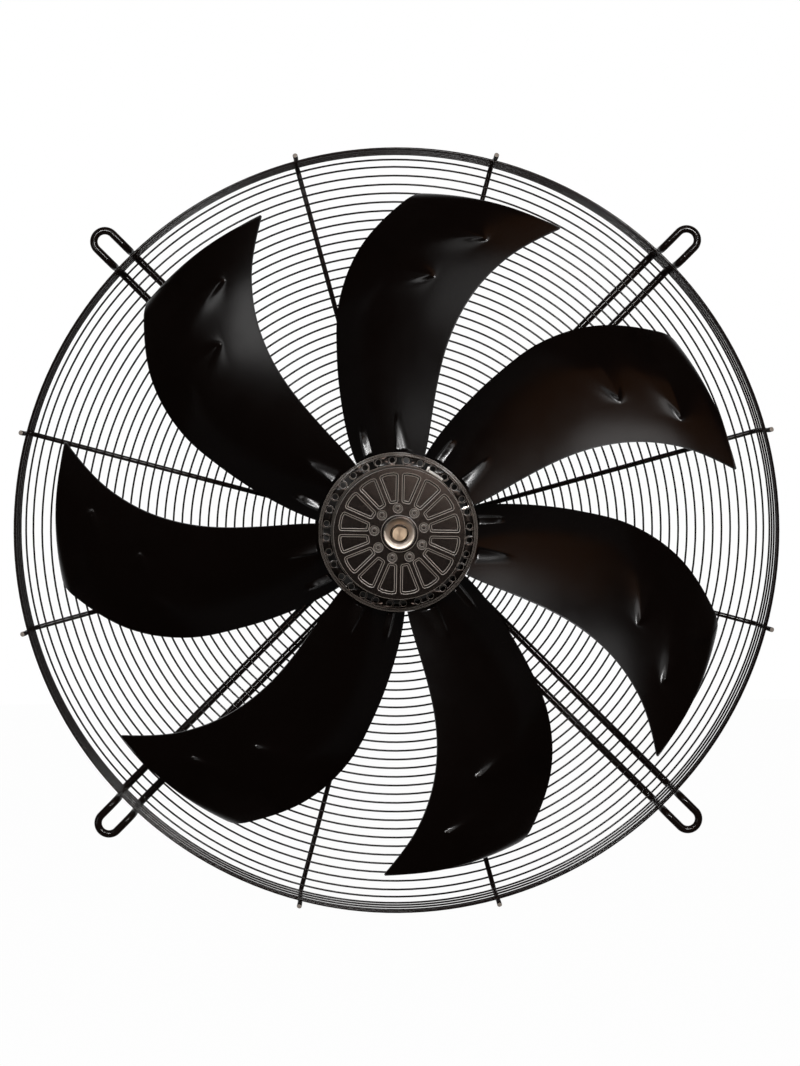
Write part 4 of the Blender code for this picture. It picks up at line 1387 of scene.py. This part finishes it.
def blade_point(row, chord):
    """A point of a blade's middle surface, on a line of the net at a share of the chord."""
    radius = net_radius(row, chord)
    span = (radius - ROOT_RADIUS) / (TIP_RADIUS - ROOT_RADIUS)
    leading = smooth_between(LEADING_DEGREES, span)
    leading += math.degrees(corner_cut(radius, POINT_ROUNDING) / radius)
    trailing = smooth_between(TRAILING_DEGREES, span)
    trailing -= math.degrees(corner_cut(radius, CORNER_ROUNDING) / radius)
    draft = ROOT_DRAFT + (TIP_DRAFT - ROOT_DRAFT) * span
    depth = BLADE_FRONT + draft * (chord - CAMBER_SHARE * chord * (1 - chord))
    depth -= sum(crease_lift(radius, chord, crease) for crease in CREASES)
    depth -= sum(dart_lift(radius, chord, dart) for dart in DARTS)
    return at(REST_TURN + leading + (trailing - leading) * chord, radius, depth)


blade_paint = painted(
    "blade_paint",
    (0.0015, 0.0007, 0.0005),
    roughness=0.22,
    grain_scale=620,
    relief=0.00003,
    cloud=0.6,
    spread=0.10,
)
deselect()
bpy.ops.mesh.primitive_grid_add(x_subdivisions=COLUMNS, y_subdivisions=ROWS, size=2)
pressed = bpy.context.object
for vert in pressed.data.vertices:
    vert.co = blade_point(round((vert.co.y + 1) / 2 * ROWS), (vert.co.x + 1) / 2)
tidy_mesh(pressed)
with_modifier(pressed, "SOLIDIFY", thickness=SHEET, offset=0.0, use_even_offset=True)
with_modifier(
    pressed,
    "BEVEL",
    width=SHEET_EDGE,
    segments=3,
    limit_method="ANGLE",
    angle_limit=math.radians(60),
)
smooth(pressed, 40)
for n in range(BLADES):
    blade = pressed.copy()
    blade.data = pressed.data.copy()
    blade.name = f"sickle_blade_{n + 1}"
    blade.data.name = blade.name
    bpy.context.scene.collection.objects.link(blade)
    moved(blade, Matrix.Rotation(-2 * math.pi * n / BLADES, 4, "Y"))
    fit(blade, blade_paint, "impeller", "blade_paint", f"blade_{n + 1}")
bpy.data.objects.remove(pressed)

# Studio: a white backdrop and floor, and a dark room on the camera's side,
# which black paint mirrors. Three small keys and a weak light near the camera
# draw the edges; the large boxes give the blades their sheen.

FLOOR_LEVEL = -0.78
WHITE = (1, 1, 1, 1)
FILL = (0.32, 0.32, 0.32, 1)
DARK_ROOM = (0.016, 0.009, 0.006, 1)

world = bpy.data.worlds.new("studio")
bpy.context.scene.world = world
world.use_nodes = True
tree = world.node_tree
rays = add_node(tree, "ShaderNodeLightPath", {})
direction = add_node(tree, "ShaderNodeTexCoord", {})
axes = add_node(tree, "ShaderNodeSeparateXYZ", {"Vector": direction.outputs["Generated"]})
behind = add_node(
    tree,
    "ShaderNodeMapRange",
    {"Value": axes.outputs["Y"], "From Min": 0.35, "From Max": 0.85},
)
mirrored = add_node(
    tree,
    "ShaderNodeMix",
    {"Factor": behind.outputs[0], 6: DARK_ROOM, 7: WHITE},
    data_type="RGBA",
)
mirror_rays = add_node(
    tree,
    "ShaderNodeMath",
    {0: rays.outputs["Is Glossy Ray"], 1: rays.outputs["Is Transmission Ray"]},
    operation="MAXIMUM",
)
room = add_node(
    tree,
    "ShaderNodeMix",
    {"Factor": mirror_rays.outputs[0], 6: FILL, 7: mirrored.outputs[2]},
    data_type="RGBA",
)
seen = add_node(
    tree,
    "ShaderNodeMix",
    {"Factor": rays.outputs["Is Camera Ray"], 6: room.outputs[2], 7: WHITE},
    data_type="RGBA",
)
background = tree.nodes["Background"]
background.inputs["Strength"].default_value = 1.0
tree.links.new(seen.outputs[2], background.inputs["Color"])

floor_look = bpy.data.materials.new("pale_floor")
floor_look.use_nodes = True
tree = floor_look.node_tree
shader = tree.nodes["Principled BSDF"]
shader.inputs["Base Color"].default_value = (0.86, 0.86, 0.86, 1)
shader.inputs["Roughness"].default_value = 0.8
glow = add_node(tree, "ShaderNodeEmission", {"Strength": 1.0})
rays = add_node(tree, "ShaderNodeLightPath", {})
share = add_node(
    tree, "ShaderNodeMath", {0: rays.outputs["Is Camera Ray"], 1: 0.98}, operation="MULTIPLY"
)
both = add_node(
    tree,
    "ShaderNodeMixShader",
    {0: share.outputs[0], 1: shader.outputs[0], 2: glow.outputs[0]},
)
tree.links.new(both.outputs[0], tree.nodes["Material Output"].inputs["Surface"])
deselect()
bpy.ops.mesh.primitive_plane_add(size=8, location=(0, 3.2, FLOOR_LEVEL))
floor = bpy.context.object
floor.name = "floor"
floor.data.materials.append(floor_look)
floor.visible_glossy = False


def soft_box(name, place_at, width, height, watts, tint=(1, 1, 1)):
    """A soft box that looks at the fan."""
    lamp = bpy.data.lights.new(name, "AREA")
    lamp.shape = "RECTANGLE"
    lamp.size = width
    lamp.size_y = height
    lamp.energy = watts
    lamp.color = tint
    made = bpy.data.objects.new(name, lamp)
    bpy.context.scene.collection.objects.link(made)
    made.location = place_at
    made.rotation_euler = (-Vector(place_at)).to_track_quat("-Z", "Y").to_euler()


soft_box("left_key", (-0.60, -3.4, 0.90), 0.35, 0.35, 32)
soft_box("right_key", (0.85, -3.4, 0.85), 0.35, 0.35, 38)
soft_box("high_key", (0.27, -3.4, 1.15), 0.35, 0.5, 22)
soft_box("near_light", (0.24, -3.6, 0.22), 0.25, 0.25, 2.6, (1.0, 0.74, 0.62))
soft_box("left_light", (-2.6, -2.9, -0.2), 1.3, 1.2, 8.5)
soft_box("upper_left_light", (-1.8, -2.9, 2.0), 1.5, 1.3, 3.4)
soft_box("top_light", (0.5, -2.9, 2.4), 1.7, 0.9, 8)
soft_box("right_light", (2.2, -2.9, 1.1), 0.9, 0.9, 2.4)
soft_box("ceiling_light", (0.4, -2.0, 2.8), 3.6, 2.0, 3.6, (1.0, 0.40, 0.14))

# Camera: level with the fan and almost square to it, a little to the left,
# with a long lens.

CAMERA_PLACE = Vector((-0.085, -3.70, 0.100))
CAMERA_AIM = Vector((0.0026, 0.0, -0.0016))
CAMERA_ROLL = -0.27

camera_data = bpy.data.cameras.new("camera")
camera_data.lens = 107.3
camera_data.sensor_width = 36.0
camera = bpy.data.objects.new("camera", camera_data)
bpy.context.scene.collection.objects.link(camera)
camera.location = CAMERA_PLACE
look_at = (CAMERA_AIM - CAMERA_PLACE).to_track_quat("-Z", "Y").to_matrix()
roll = Matrix.Rotation(math.radians(CAMERA_ROLL), 3, "Z")
camera.rotation_euler = (look_at @ roll).to_euler()
bpy.context.scene.camera = camera
bpy.context.scene.view_settings.view_transform = "Standard"
